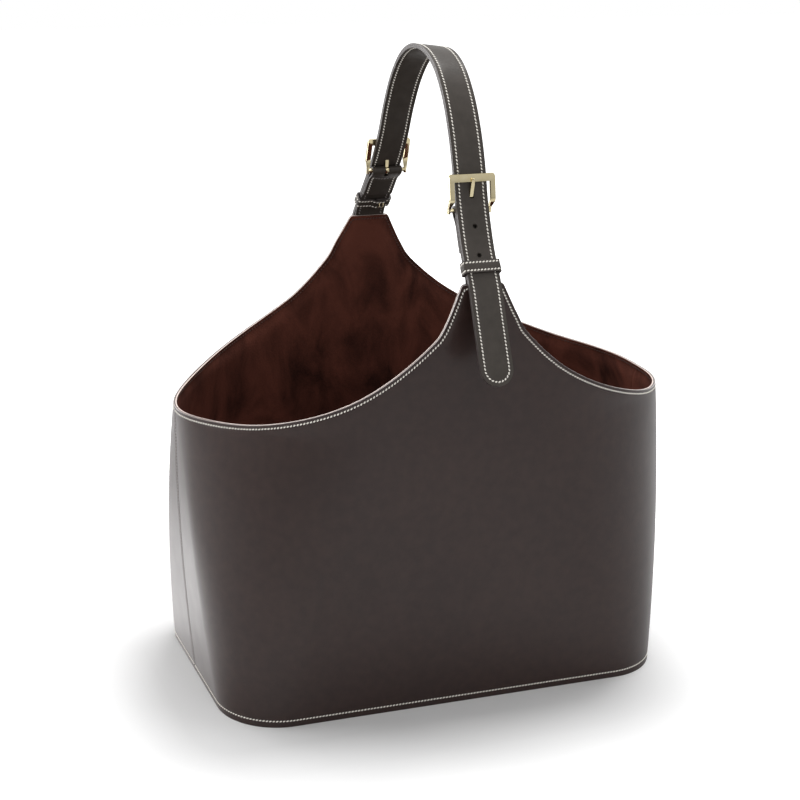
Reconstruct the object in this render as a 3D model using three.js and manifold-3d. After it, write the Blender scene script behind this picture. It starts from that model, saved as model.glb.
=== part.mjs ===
// Leather magazine basket: an oval tub of lined panels with two necks, and one strap that
// arches between the necks as a handle and is buckled to a leather loop on each of them.
// Lengths are millimetres. +X runs along the length, -Y is the front, +Z is up, and the
// origin lies on the ground under the middle of the tub.

import * as THREE from 'three';
import { mergeVertices } from 'three/addons/utils/BufferGeometryUtils.js';
import Module from 'manifold-3d';

const wasm = await Module();
wasm.setup();

// Tub outline, outside of the leather
const BASE_LENGTH = 352;
const BASE_DEPTH = 213;
const BASE_CORNER_RADIUS = 46;
const RIM_LENGTH = 380;
const RIM_DEPTH = 229;
const LEFT_CORNER_LENGTH = 118;
const RIGHT_CORNER_LENGTH = 137;
const RIM_END_FLAT = 15;
const END_RIM_HEIGHT = 218;
const END_BULGE = 3.5;
const NECK_HEIGHT = 325;
const NECK_WIDTH = 31;
const NECK_DEPTH = 232;

// Exponents of the corners across the tub: 2 is an ellipse, less is more pointed
const BASE_ROUNDNESS = 2;
const LEFT_ROUNDNESS = 1.3;
const RIGHT_ROUNDNESS = 2;

// Sweep of the rim from the neck's shoulder to the tub's end: along, and up
const RIM_ALONG_SHARES = [0, 0.129, 0.292, 0.51, 0.783, 1];
const RIM_RISE_SHARES = [1, 0.635, 0.401, 0.214, 0.06, 0];

// Wall layers, from the outside in
const PANEL_THICKNESS = 1.6;
const BOARD_THICKNESS = 1.4;
const LINING_THICKNESS = 1;
const LAYER_GAP = 0.3;
const SEAM_LAP = 6;

// Bottom
const TRAY_THICKNESS = 1.6;
const TRAY_LIP_HEIGHT = 12;
const BASE_BOARD_THICKNESS = 2.4;
const BASE_LINING_THICKNESS = 1;

// Handle strap: two layers sewn together, with round tips that hang outside the necks
const STRAP_WIDTH = 24;
const STRAP_LAYER = 1.5;
const STRAP_TOP_HEIGHT = 475;
const STRAP_LEAN = 10;
const STRAP_LEAN_RISE = 85;
const STRAP_TWIST = THREE.MathUtils.degToRad(7);
const STRAP_TWIST_RISE = 70;
const STRAP_NECK_GAP = 1.1;
const STRAP_TIP_DROP = 64;
const STRAP_TIP_SPREAD = 31;
const HOLE_DIAMETER = 3;
const HOLE_SPACING = 21;
const HOLE_ABOVE_HEEL = 8;
const SPARE_HOLES = 2;

// Bow of the strap from a neck to its top: outward share of the neck's, and rise
const BOW_OUT_SHARES = [1, 0.875, 0.782, 0.699, 0.627, 0.543, 0.429, 0.286, 0.143];
const BOW_RISE_SHARES = [0, 0.134, 0.248, 0.361, 0.495, 0.656, 0.81, 0.927, 0.984];

// Hanging tip, from the neck down: share of its spread, and of its drop
const TIP_SHARES = [0.33, 0.67, 1];

// Leather loop on each neck that holds a buckle
const CHAPE_WIDTH = 24;
const CHAPE_THICKNESS = 1.4;
const CHAPE_INSERT = 45;
const CHAPE_REACH_UP = 10;
const CHAPE_TURN_LENGTH = 30;
const CHAPE_CLOSE_LENGTH = 12;
const CHAPE_SLOT_REACH = 5.5;

// Buckle
const FRONT_HEEL_UP_STRAP = 55.5;
const REAR_HEEL_UP_STRAP = 59.5;
const HEEL_BAR_DIAMETER = 3;
const BUCKLE_WIDTH = 34.4;
const BUCKLE_BAR_SPACING = 22.5;
const BUCKLE_BAR_WIDTH = 3.6;
const BUCKLE_THICKNESS = 2.6;
const BUCKLE_BEVEL = 0.4;
const BUCKLE_HEEL_REACH = 2.4;
const PRONG_WIDTH = 2.6;
const PRONG_THICKNESS = 1.8;
const PRONG_RING_WALL = 1;
const PRONG_SIDE_CLEARANCE = 0.5;
const PRONG_LIFT_ANGLE = THREE.MathUtils.degToRad(5);

// Keeper loop that slides on the strap and the leather loop
const FRONT_KEEPER_UP_STRAP = 13;
const REAR_KEEPER_UP_STRAP = 19;
const KEEPER_HEIGHT = 9;
const KEEPER_THICKNESS = 1.4;
const KEEPER_CLEARANCE = 0.7;
const KEEPER_CORNER_RADIUS = 1.6;
const KEEPER_LAP = 8;
const KEEPER_LAP_SHIFT = 5;
const STAPLE_WIRE = 0.9;
const STAPLE_LENGTH = 5.5;
const STAPLE_SPACING = 3.2;
const STAPLE_HOLE_CLEARANCE = 0.3;

// One overrun serves every cut
const OVERRUN = 2;

// Facets
const WALL_ROWS = 5;
const CORNER_STEPS = 13;
const FACE_STEPS = 5;
const STRAP_STEPS = 60;
const TIP_STEPS = 7;
const ROUND_SIDES = 20;

// Distances that follow from the sizes
const BOARD_OFFSET = PANEL_THICKNESS + LAYER_GAP;
const BOARD_INNER_OFFSET = BOARD_OFFSET + BOARD_THICKNESS;
const LINING_OFFSET = BOARD_INNER_OFFSET + LAYER_GAP;
const LINING_INNER_OFFSET = LINING_OFFSET + LINING_THICKNESS;
const BASE_BOARD_LEVEL = TRAY_THICKNESS + LAYER_GAP;
const LINING_LEVEL = BASE_BOARD_LEVEL + BASE_BOARD_THICKNESS + LAYER_GAP;
const BOARD_LEVEL = TRAY_LIP_HEIGHT + LAYER_GAP;
const SEAM_EDGE = SEAM_LAP / 2;
const TONGUE_ROOT = SEAM_EDGE + 2 * LAYER_GAP;
const TONGUE_SHOULDER = TONGUE_ROOT + PANEL_THICKNESS;
const TONGUE_END = TONGUE_SHOULDER + PANEL_THICKNESS;
const STRAP_HALF = STRAP_LAYER + LAYER_GAP / 2;
const HEEL_RADIUS = HEEL_BAR_DIAMETER / 2;
const CHAPE_OFFSET = STRAP_HALF + LAYER_GAP + CHAPE_THICKNESS / 2;
const WRAP_RADIUS = HEEL_RADIUS + LAYER_GAP + CHAPE_THICKNESS / 2;
const HEEL_OFFSET = CHAPE_OFFSET + WRAP_RADIUS;
const KEEPER_OUT = STRAP_HALF + KEEPER_CLEARANCE + KEEPER_THICKNESS / 2;
const KEEPER_IN = CHAPE_OFFSET + (CHAPE_THICKNESS + KEEPER_THICKNESS) / 2 + KEEPER_CLEARANCE;
const KEEPER_HALF_WIDTH = STRAP_WIDTH / 2 + KEEPER_CLEARANCE + KEEPER_THICKNESS / 2;
const KEEPER_LAP_STEP = KEEPER_THICKNESS + LAYER_GAP;

const { lerp, smoothstep } = THREE.MathUtils;

// Materials
function finish(color, roughness, metalness = 0) {
  return new THREE.MeshStandardMaterial({ color, roughness, metalness });
}

const outerLeather = finish('#3a302d', 0.45);
const strapLeather = finish('#45413c', 0.42);
const strapBack = finish('#2b2523', 0.6);
const suede = finish('#45201a', 0.95);
const leatherboard = finish('#8b6c4d', 0.9);
const paleBrass = finish('#cdbb87', 0.25, 1);

// Closed skin over two grids of points, given column by column: one outside, one inside
function skinGeometry(outer, inner) {
  const columns = outer.length;
  const rows = outer[0].length;
  const corners = columns * rows;
  const at = (column, row) => column * rows + row;
  const faces = [];
  const quad = (a, b, c, d) => faces.push(a, b, c, a, c, d);
  for (let i = 0; i < columns - 1; i++) {
    for (let k = 0; k < rows - 1; k++) {
      quad(at(i, k), at(i + 1, k), at(i + 1, k + 1), at(i, k + 1));
      const [a, b, c, d] = [at(i, k), at(i + 1, k), at(i + 1, k + 1), at(i, k + 1)];
      faces.push(corners + a, corners + c, corners + b, corners + a, corners + d, corners + c);
    }
    quad(corners + at(i, 0), corners + at(i + 1, 0), at(i + 1, 0), at(i, 0));
    const last = rows - 1;
    quad(at(i, last), at(i + 1, last), corners + at(i + 1, last), corners + at(i, last));
  }
  for (let k = 0; k < rows - 1; k++) {
    quad(at(0, k), at(0, k + 1), corners + at(0, k + 1), corners + at(0, k));
    const end = columns - 1;
    quad(at(end, k), corners + at(end, k), corners + at(end, k + 1), at(end, k + 1));
  }
  const points = [...outer.flat(), ...inner.flat()];
  return facingOut(indexedGeometry(points.flatMap((p) => p.toArray()), faces));
}

function indexedGeometry(positions, faces) {
  const geometry = new THREE.BufferGeometry();
  geometry.setAttribute('position', new THREE.Float32BufferAttribute(positions, 3));
  geometry.setIndex(faces);
  return geometry;
}

// A skin that came out inside out gets its triangles turned over
function facingOut(geometry) {
  const position = geometry.attributes.position;
  const index = geometry.index.array;
  const [a, b, c] = [new THREE.Vector3(), new THREE.Vector3(), new THREE.Vector3()];
  let volume = 0;
  for (let i = 0; i < index.length; i += 3) {
    a.fromBufferAttribute(position, index[i]);
    b.fromBufferAttribute(position, index[i + 1]);
    c.fromBufferAttribute(position, index[i + 2]);
    volume += a.dot(b.cross(c));
  }
  if (volume < 0) {
    for (let i = 0; i < index.length; i += 3) {
      [index[i + 1], index[i + 2]] = [index[i + 2], index[i + 1]];
    }
  }
  return geometry;
}

// Solids for joining and cutting
function solidOf(geometry) {
  const bare = geometry.clone();
  bare.deleteAttribute('normal');
  bare.deleteAttribute('uv');
  const merged = mergeVertices(bare);
  const vertProperties = new Float32Array(merged.attributes.position.array);
  const triVerts = new Uint32Array(merged.index.array);
  return new wasm.Manifold(new wasm.Mesh({ numProp: 3, vertProperties, triVerts }));
}

function geometryOf(solid) {
  const { vertProperties, triVerts } = solid.getMesh();
  return indexedGeometry(Array.from(vertProperties), Array.from(triVerts));
}

function cutAway(geometry, cutters) {
  const left = cutters.reduce((solid, cutter) => solid.subtract(solidOf(cutter)), solidOf(geometry));
  return geometryOf(left);
}

function joined(geometries) {
  return geometryOf(geometries.map(solidOf).reduce((all, next) => all.add(next)));
}

function boxBetween(low, high) {
  const size = new THREE.Vector3().subVectors(high, low);
  const middle = new THREE.Vector3().addVectors(low, high).multiplyScalar(0.5);
  return new THREE.BoxGeometry(size.x, size.y, size.z).translate(middle.x, middle.y, middle.z);
}

function piece(name, geometry, material) {
  const mesh = new THREE.Mesh(geometry, material);
  mesh.name = name;
  return mesh;
}

// Half the tub's depth at a height: base, rim and neck lie on one gentle curve
function halfDepthAt(z) {
  const base = BASE_DEPTH / 2;
  const slope = (RIM_DEPTH / 2 - base) / END_RIM_HEIGHT;
  const neckSlope = (NECK_DEPTH / 2 - base) / NECK_HEIGHT;
  const bend = (neckSlope - slope) / (NECK_HEIGHT - END_RIM_HEIGHT);
  return base + slope * z + bend * z * (z - END_RIM_HEIGHT);
}

// The plan of one end at a height: its corners grow towards the rim
function planAt(z, sideX) {
  const share = Math.min(z / END_RIM_HEIGHT, 1);
  const rimCornerLength = sideX < 0 ? LEFT_CORNER_LENGTH : RIGHT_CORNER_LENGTH;
  const rimCornerDepth = (RIM_DEPTH - RIM_END_FLAT) / 2;
  return {
    halfLength: lerp(BASE_LENGTH, RIM_LENGTH, share) / 2 + 4 * END_BULGE * share * (1 - share),
    halfDepth: halfDepthAt(z),
    cornerLength: lerp(BASE_CORNER_RADIUS, rimCornerLength, share),
    cornerDepth: lerp(BASE_CORNER_RADIUS, rimCornerDepth, share),
    roundness: lerp(BASE_ROUNDNESS, sideX < 0 ? LEFT_ROUNDNESS : RIGHT_ROUNDNESS, share),
  };
}

// Lines up the wall, each a place on the plan at any height with its outward direction
function endLine(sideX, y) {
  return (z) => ({ x: sideX * planAt(z, sideX).halfLength, y, outX: sideX, outY: 0 });
}

function cornerLine(sideX, sideY, angle) {
  return (z) => {
    const { halfLength, halfDepth, cornerLength, cornerDepth, roundness } = planAt(z, sideX);
    const [along, across] = [Math.cos(angle), Math.sin(angle) ** (2 / roundness)];
    const slope = roundness * across ** (roundness - 1) / 2;
    const out = new THREE.Vector2(along / cornerLength, slope / cornerDepth).normalize();
    return {
      x: sideX * (halfLength - cornerLength * (1 - along)),
      y: sideY * (halfDepth - cornerDepth * (1 - across)),
      outX: sideX * out.x,
      outY: sideY * out.y,
    };
  };
}

function faceLine(sideX, sideY, share) {
  return (z) => {
    const { halfLength, halfDepth, cornerLength } = planAt(z, sideX);
    const x = lerp(NECK_WIDTH / 2, halfLength - cornerLength, share);
    return { x: sideX * x, y: sideY * halfDepth, outX: 0, outY: sideY };
  };
}

function neckLine(sideY, x) {
  return (z) => ({ x, y: sideY * halfDepthAt(z), outX: 0, outY: sideY });
}

// Half of one wall, from the tub's end to the shoulder of its neck
function halfWallLines(sideX, sideY) {
  const lines = [];
  for (let i = 0; i <= CORNER_STEPS; i++) {
    lines.push(cornerLine(sideX, sideY, (i / CORNER_STEPS) * Math.PI / 2));
  }
  for (let i = 1; i <= FACE_STEPS; i++) {
    lines.push(faceLine(sideX, sideY, 1 - i / FACE_STEPS));
  }
  return lines;
}

function wallLines(sideY) {
  const left = halfWallLines(-1, sideY);
  const right = halfWallLines(1, sideY).reverse();
  return [...left, neckLine(sideY, 0), ...right];
}

// The rim's height at a distance along from the middle
const rimSweep = new THREE.SplineCurve(RIM_ALONG_SHARES.map((along, i) => new THREE.Vector2(
  lerp(NECK_WIDTH / 2, RIM_LENGTH / 2, along),
  lerp(END_RIM_HEIGHT, NECK_HEIGHT, RIM_RISE_SHARES[i]),
)));

function rimHeightAt(x) {
  let [low, high] = [0, 1];
  for (let i = 0; i < 30; i++) {
    const middle = (low + high) / 2;
    if (rimSweep.getPoint(middle).x < Math.abs(x)) {
      low = middle;
    } else {
      high = middle;
    }
  }
  return rimSweep.getPoint(high).y;
}

function rimHeightOn(line) {
  let [low, high] = [0, NECK_HEIGHT];
  for (let i = 0; i < 30; i++) {
    const middle = (low + high) / 2;
    if (rimHeightAt(line(middle).x) > middle) {
      low = middle;
    } else {
      high = middle;
    }
  }
  return high;
}

function inset(place, z, depth) {
  return new THREE.Vector3(place.x - place.outX * depth, place.y - place.outY * depth, z);
}

// One layer of a wall between two depths under the outside; a line may carry depths of its own
function wallGeometry(lines, from, to, bottom) {
  const [outer, inner] = [[], []];
  for (const entry of lines) {
    const { line, outerDepth = from, innerDepth = to } = entry.line ? entry : { line: entry };
    const top = rimHeightOn(line);
    const heights = [bottom];
    for (let k = 1; k <= WALL_ROWS; k++) {
      heights.push(top * k / WALL_ROWS);
    }
    outer.push(heights.map((z) => inset(line(z), z, outerDepth)));
    inner.push(heights.map((z) => inset(line(z), z, innerDepth)));
  }
  return skinGeometry(outer, inner);
}

// Ends of the wall layers, where front and rear meet
function withPlainEnds(sideY, y) {
  return [endLine(-1, y), ...wallLines(sideY), endLine(1, y)];
}

function frontPanelLines() {
  return [endLine(-1, SEAM_EDGE), endLine(-1, -SEAM_EDGE), ...wallLines(-1),
    endLine(1, -SEAM_EDGE), endLine(1, SEAM_EDGE)];
}

// The rear panel's ends step in under the front panel as thin tongues
function rearPanelLines() {
  const tongue = (sideX) => [
    { line: endLine(sideX, -SEAM_EDGE), outerDepth: BOARD_OFFSET, innerDepth: BOARD_INNER_OFFSET },
    {
      line: endLine(sideX, SEAM_EDGE + LAYER_GAP),
      outerDepth: BOARD_OFFSET,
      innerDepth: BOARD_INNER_OFFSET,
    },
    { line: endLine(sideX, TONGUE_ROOT), innerDepth: BOARD_INNER_OFFSET },
    { line: endLine(sideX, TONGUE_SHOULDER), innerDepth: BOARD_INNER_OFFSET },
    { line: endLine(sideX, TONGUE_END) },
  ];
  return [...tongue(-1), ...wallLines(1), ...tongue(1).reverse()];
}

// The board leaves room in the neck for the leather loop's lower end
function boardGeometry(sideY, endY) {
  const board = wallGeometry(withPlainEnds(sideY, endY), BOARD_OFFSET, BOARD_INNER_OFFSET, BOARD_LEVEL);
  const halfRoom = CHAPE_WIDTH / 2 + LAYER_GAP;
  const reach = sideY * (NECK_DEPTH / 2 + OVERRUN);
  const low = new THREE.Vector3(-halfRoom, Math.min(0, reach), NECK_HEIGHT - CHAPE_INSERT - LAYER_GAP);
  const high = new THREE.Vector3(halfRoom, Math.max(0, reach), NECK_HEIGHT + OVERRUN);
  return cutAway(board, [boxBetween(low, high)]);
}

function liningGeometry(sideY) {
  const lines = withPlainEnds(sideY, sideY * LAYER_GAP / 2);
  return wallGeometry(lines, LINING_OFFSET, LINING_INNER_OFFSET, LINING_LEVEL);
}

// A filled plan between two heights, drawn in by a depth
function plateGeometry(depth, bottom, top) {
  const around = [...wallLines(-1), ...wallLines(1).reverse()];
  const count = around.length;
  const rings = [bottom, top].flatMap((z) => around.map((line) => inset(line(z), z, depth)));
  const middles = [bottom, top].map((z) => new THREE.Vector3(0, 0, z));
  const faces = [];
  for (let i = 0; i < count; i++) {
    const next = (i + 1) % count;
    faces.push(i, next, count + next, i, count + next, count + i);
    faces.push(2 * count, next, i, 2 * count + 1, count + i, count + next);
  }
  const positions = [...rings, ...middles].flatMap((p) => p.toArray());
  return facingOut(indexedGeometry(positions, faces));
}

// The bottom panel is a shallow tray, notched at both ends for the rear panel's tongues
function trayGeometry() {
  const hollow = plateGeometry(BOARD_INNER_OFFSET, TRAY_THICKNESS, TRAY_LIP_HEIGHT + OVERRUN);
  const notches = [-1, 1].map((sideX) => {
    const near = sideX * (BASE_LENGTH / 2 - LINING_OFFSET);
    const far = sideX * (RIM_LENGTH / 2 + OVERRUN);
    return boxBetween(
      new THREE.Vector3(Math.min(near, far), -SEAM_EDGE - LAYER_GAP, -OVERRUN),
      new THREE.Vector3(Math.max(near, far), TONGUE_END + LAYER_GAP, TRAY_LIP_HEIGHT + OVERRUN),
    );
  });
  return cutAway(plateGeometry(BOARD_OFFSET, 0, TRAY_LIP_HEIGHT), [hollow, ...notches]);
}

// The strap's middle line in the YZ plane, from the front tip over the top to the rear tip
function strapLegPoints(sideY) {
  const neckOut = NECK_DEPTH / 2 + STRAP_HALF + STRAP_NECK_GAP;
  const top = STRAP_TOP_HEIGHT - STRAP_HALF;
  const tip = TIP_SHARES.map((share) => new THREE.Vector3(
    0, sideY * (neckOut + STRAP_TIP_SPREAD * share), NECK_HEIGHT - STRAP_TIP_DROP * share,
  )).reverse();
  const bow = BOW_OUT_SHARES.map((out, i) => {
    const z = lerp(NECK_HEIGHT, top, BOW_RISE_SHARES[i]);
    const lean = STRAP_LEAN * smoothstep(z, NECK_HEIGHT, NECK_HEIGHT + STRAP_LEAN_RISE);
    return new THREE.Vector3(0, sideY * neckOut * out - lean, z);
  });
  return [...tip, ...bow];
}

const strapTop = new THREE.Vector3(0, -STRAP_LEAN, STRAP_TOP_HEIGHT - STRAP_HALF);
const strapPoints = [...strapLegPoints(-1), strapTop, ...strapLegPoints(1).reverse()];
const strapLine = new THREE.CatmullRomCurve3(strapPoints, false, 'centripetal');
const POINT_DIVISIONS = 60;
strapLine.arcLengthDivisions = POINT_DIVISIONS * (strapPoints.length - 1);
const strapLengths = strapLine.getLengths();
const strapLength = strapLine.getLength();

// A place on the strap's middle line, with its direction and the outward normal
function onStrap(arc) {
  const share = THREE.MathUtils.clamp(arc / strapLength, 0, 1);
  const along = strapLine.getTangentAt(share);
  const out = new THREE.Vector3(0, -along.z, along.y);
  return { point: strapLine.getPointAt(share), along, out };
}

// A place by its distance up the strap from a neck, with up and inward directions
function aboveNeck(sideY, distance, inward = 0) {
  const index = sideY < 0 ? TIP_SHARES.length : strapPoints.length - 1 - TIP_SHARES.length;
  const neckArc = strapLengths[index * POINT_DIVISIONS];
  const { point, along, out } = onStrap(neckArc - sideY * distance);
  const inDirection = out.clone().negate();
  const up = along.clone().multiplyScalar(-sideY);
  return { point: point.clone().addScaledVector(inDirection, inward), up, inDirection };
}

// Strip of leather through places with an outward normal and a roll, between two depths
function stripGeometry(places, from, to) {
  const layer = (depth) => places.map(({ point, out, halfWidth, roll = 0 }) => {
    const across = new THREE.Vector3(Math.cos(roll), 0, 0).addScaledVector(out, -Math.sin(roll));
    const thick = out.clone().multiplyScalar(Math.cos(roll)).setX(Math.sin(roll));
    const middle = point.clone().addScaledVector(thick, depth);
    return [-halfWidth, halfWidth].map((x) => middle.clone().addScaledVector(across, x));
  });
  return skinGeometry(layer(to), layer(from));
}

function strapPlaces() {
  const half = STRAP_WIDTH / 2;
  const places = [];
  for (let i = 1; i < TIP_STEPS; i++) {
    const angle = (i / TIP_STEPS) * Math.PI / 2;
    places.push({ arc: half * (1 - Math.cos(angle)), halfWidth: half * Math.sin(angle) });
  }
  for (let i = 0; i <= STRAP_STEPS; i++) {
    places.push({ arc: lerp(half, strapLength / 2, i / STRAP_STEPS), halfWidth: half });
  }
  const mirrored = places.slice(0, -1).reverse();
  const back = mirrored.map(({ arc, halfWidth }) => ({ arc: strapLength - arc, halfWidth }));
  return [...places, ...back].map(({ arc, halfWidth }) => {
    const place = onStrap(arc);
    const twisted = smoothstep(place.point.z, STRAP_TOP_HEIGHT - STRAP_TWIST_RISE, STRAP_TOP_HEIGHT);
    return { ...place, halfWidth, roll: STRAP_TWIST * twisted };
  });
}

// Axes of a fitting on one side: X across, Y into the basket, Z up the strap
function fittingGroup(sideY, place, tilt = 0) {
  const group = new THREE.Group();
  const across = new THREE.Vector3(-sideY, 0, 0);
  group.matrix.makeBasis(across, place.inDirection, place.up).setPosition(place.point);
  group.matrix.multiply(new THREE.Matrix4().makeRotationX(tilt));
  group.matrix.decompose(group.position, group.quaternion, group.scale);
  group.updateMatrixWorld(true);
  return group;
}

// Buckle geometry: the heel bar is the origin, the far bar lies up the Z axis
const OPENING_HALF = BUCKLE_WIDTH / 2 - BUCKLE_BAR_WIDTH;

function heelUpStrap(sideY) {
  return sideY < 0 ? FRONT_HEEL_UP_STRAP : REAR_HEEL_UP_STRAP;
}

function heelBar(sideY) {
  return aboveNeck(sideY, heelUpStrap(sideY), HEEL_OFFSET);
}

// The frame tilts until its far bar clears the strap's outer face
function buckleTilt(sideY) {
  const heel = heelBar(sideY);
  let tilt = 0;
  for (let i = 0; i < 8; i++) {
    const barReach = (BUCKLE_BAR_WIDTH * Math.sin(tilt) + BUCKLE_THICKNESS * Math.cos(tilt)) / 2;
    const offset = STRAP_HALF + LAYER_GAP + barReach;
    const run = Math.sqrt(BUCKLE_BAR_SPACING ** 2 - (HEEL_OFFSET + offset) ** 2);
    const far = aboveNeck(sideY, heelUpStrap(sideY) + run, -offset).point;
    const reach = far.sub(heel.point);
    tilt = Math.atan2(-reach.dot(heel.inDirection), reach.dot(heel.up));
  }
  return tilt;
}

function buckleGroup(sideY) {
  return fittingGroup(sideY, heelBar(sideY), buckleTilt(sideY));
}

function buckleFrameGeometry() {
  const half = BUCKLE_WIDTH / 2;
  const top = BUCKLE_BAR_SPACING + BUCKLE_BAR_WIDTH / 2;
  const bevel = BUCKLE_BEVEL;
  const outline = new THREE.Shape();
  outline.moveTo(-half + bevel, -BUCKLE_HEEL_REACH);
  outline.lineTo(-half + bevel, top - BUCKLE_BAR_WIDTH / 2);
  outline.lineTo(-half + BUCKLE_BAR_WIDTH / 2, top - bevel);
  outline.lineTo(half - BUCKLE_BAR_WIDTH / 2, top - bevel);
  outline.lineTo(half - bevel, top - BUCKLE_BAR_WIDTH / 2);
  outline.lineTo(half - bevel, -BUCKLE_HEEL_REACH);
  outline.lineTo(OPENING_HALF + bevel, -BUCKLE_HEEL_REACH);
  outline.lineTo(OPENING_HALF + bevel, top - BUCKLE_BAR_WIDTH + bevel);
  outline.lineTo(-OPENING_HALF - bevel, top - BUCKLE_BAR_WIDTH + bevel);
  outline.lineTo(-OPENING_HALF - bevel, -BUCKLE_HEEL_REACH);
  const depth = BUCKLE_THICKNESS - 2 * bevel;
  const options = { depth, bevelSize: bevel, bevelThickness: bevel, bevelSegments: 1 };
  const frame = new THREE.ExtrudeGeometry(outline, options);
  frame.rotateX(Math.PI / 2).translate(0, depth / 2, 0);
  const barLength = 2 * OPENING_HALF + BUCKLE_BAR_WIDTH;
  const bar = new THREE.CylinderGeometry(HEEL_RADIUS, HEEL_RADIUS, barLength, ROUND_SIDES);
  return joined([frame, bar.rotateZ(Math.PI / 2)]);
}

// Extrusion across X of an outline drawn in the YZ plane
function acrossGeometry(outline, width) {
  const geometry = new THREE.ExtrudeGeometry(outline, { depth: width, bevelEnabled: false });
  const axes = new THREE.Matrix4().makeBasis(
    new THREE.Vector3(0, 1, 0), new THREE.Vector3(0, 0, 1), new THREE.Vector3(1, 0, 0),
  );
  return geometry.applyMatrix4(axes).translate(-width / 2, 0, 0);
}

// The prong's line leans out from the heel bar to rest on the far bar
const RING_RADIUS = HEEL_RADIUS + LAYER_GAP + PRONG_RING_WALL;
const PRONG_REST = (BUCKLE_THICKNESS + PRONG_THICKNESS) / 2 + LAYER_GAP;
const PRONG_LENGTH = BUCKLE_BAR_SPACING + BUCKLE_BAR_WIDTH / 4;
const prongSlope = PRONG_REST / BUCKLE_BAR_SPACING;

function prongGeometry() {
  const half = PRONG_THICKNESS / 2;
  const start = HEEL_RADIUS + LAYER_GAP + PRONG_RING_WALL / 2;
  const arm = new THREE.Shape();
  arm.moveTo(-prongSlope * start + half, start);
  arm.lineTo(-PRONG_REST + half, PRONG_LENGTH);
  arm.lineTo(-PRONG_REST - half / 2, PRONG_LENGTH);
  arm.lineTo(-PRONG_REST - half, PRONG_LENGTH - PRONG_THICKNESS);
  arm.lineTo(-prongSlope * start - half, start);
  const ring = new THREE.Shape().absarc(0, 0, RING_RADIUS, 0, 2 * Math.PI);
  ring.holes.push(new THREE.Path().absarc(0, 0, HEEL_RADIUS + LAYER_GAP, 0, 2 * Math.PI));
  return joined([acrossGeometry(arm, PRONG_WIDTH), acrossGeometry(ring, PRONG_WIDTH)]);
}

// Room that the prong needs in the strap, from rest to its lifted end
function prongRoomGeometry() {
  const half = PRONG_THICKNESS / 2 + LAYER_GAP;
  const lift = Math.tan(PRONG_LIFT_ANGLE);
  const far = BUCKLE_BAR_SPACING - BUCKLE_BAR_WIDTH / 2;
  const room = new THREE.Shape();
  room.moveTo(half, 0);
  room.lineTo(half - prongSlope * far, far);
  room.lineTo(-half - (prongSlope + lift) * far, far);
  room.lineTo(-half, 0);
  return acrossGeometry(room, PRONG_WIDTH + 2 * PRONG_SIDE_CLEARANCE);
}

// Both strap layers are pierced by the prongs in use and by the spare holes
function strapCutters() {
  const cutters = [];
  for (const sideY of [-1, 1]) {
    cutters.push(prongRoomGeometry().applyMatrix4(buckleGroup(sideY).matrix));
    const used = heelUpStrap(sideY) + HOLE_ABOVE_HEEL;
    for (let i = 1; i <= SPARE_HOLES; i++) {
      const place = aboveNeck(sideY, used - i * HOLE_SPACING);
      const radius = HOLE_DIAMETER / 2;
      const length = 2 * STRAP_HALF + 2 * OVERRUN;
      const punch = new THREE.CylinderGeometry(radius, radius, length, ROUND_SIDES);
      cutters.push(punch.applyMatrix4(fittingGroup(sideY, place).matrix));
    }
  }
  return cutters;
}

function strapPieces() {
  const places = strapPlaces();
  const cutters = strapCutters();
  const outer = stripGeometry(places, LAYER_GAP / 2, STRAP_HALF);
  const inner = stripGeometry(places, -STRAP_HALF, -LAYER_GAP / 2);
  return [
    piece('handle_strap_outer', cutAway(outer, cutters), strapLeather),
    piece('handle_strap_lining', cutAway(inner, cutters), strapBack),
  ];
}

// The leather loop rises out of the neck, folds over the heel bar and turns back down
function chapePoints(sideY) {
  const slotDepth = BOARD_OFFSET + CHAPE_THICKNESS / 2;
  const rowBelow = NECK_HEIGHT * (WALL_ROWS - 1) / WALL_ROWS;
  const insertShare = CHAPE_INSERT / (NECK_HEIGHT - rowBelow);
  const wallTop = new THREE.Vector3(0, sideY * (halfDepthAt(NECK_HEIGHT) - slotDepth), NECK_HEIGHT);
  const wallBelow = new THREE.Vector3(0, sideY * (halfDepthAt(rowBelow) - slotDepth), rowBelow);
  const points = [wallTop.clone().lerp(wallBelow, insertShare), wallTop];
  const fold = heelUpStrap(sideY);
  for (let i = 0; i <= 8; i++) {
    points.push(aboveNeck(sideY, lerp(CHAPE_REACH_UP, fold, i / 8), CHAPE_OFFSET).point);
  }
  const heel = heelBar(sideY);
  for (let i = 1; i < 10; i++) {
    const angle = (i / 10) * Math.PI;
    const rise = heel.point.clone().addScaledVector(heel.up, WRAP_RADIUS * Math.sin(angle));
    points.push(rise.addScaledVector(heel.inDirection, -WRAP_RADIUS * Math.cos(angle)));
  }
  const wide = HEEL_OFFSET + WRAP_RADIUS;
  const close = CHAPE_OFFSET + CHAPE_THICKNESS + LAYER_GAP;
  for (let i = 0; i <= 10; i++) {
    const down = CHAPE_TURN_LENGTH * i / 10;
    const inward = lerp(wide, close, smoothstep(down, 0, CHAPE_CLOSE_LENGTH));
    points.push(aboveNeck(sideY, fold - down, inward).point);
  }
  return points;
}

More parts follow.
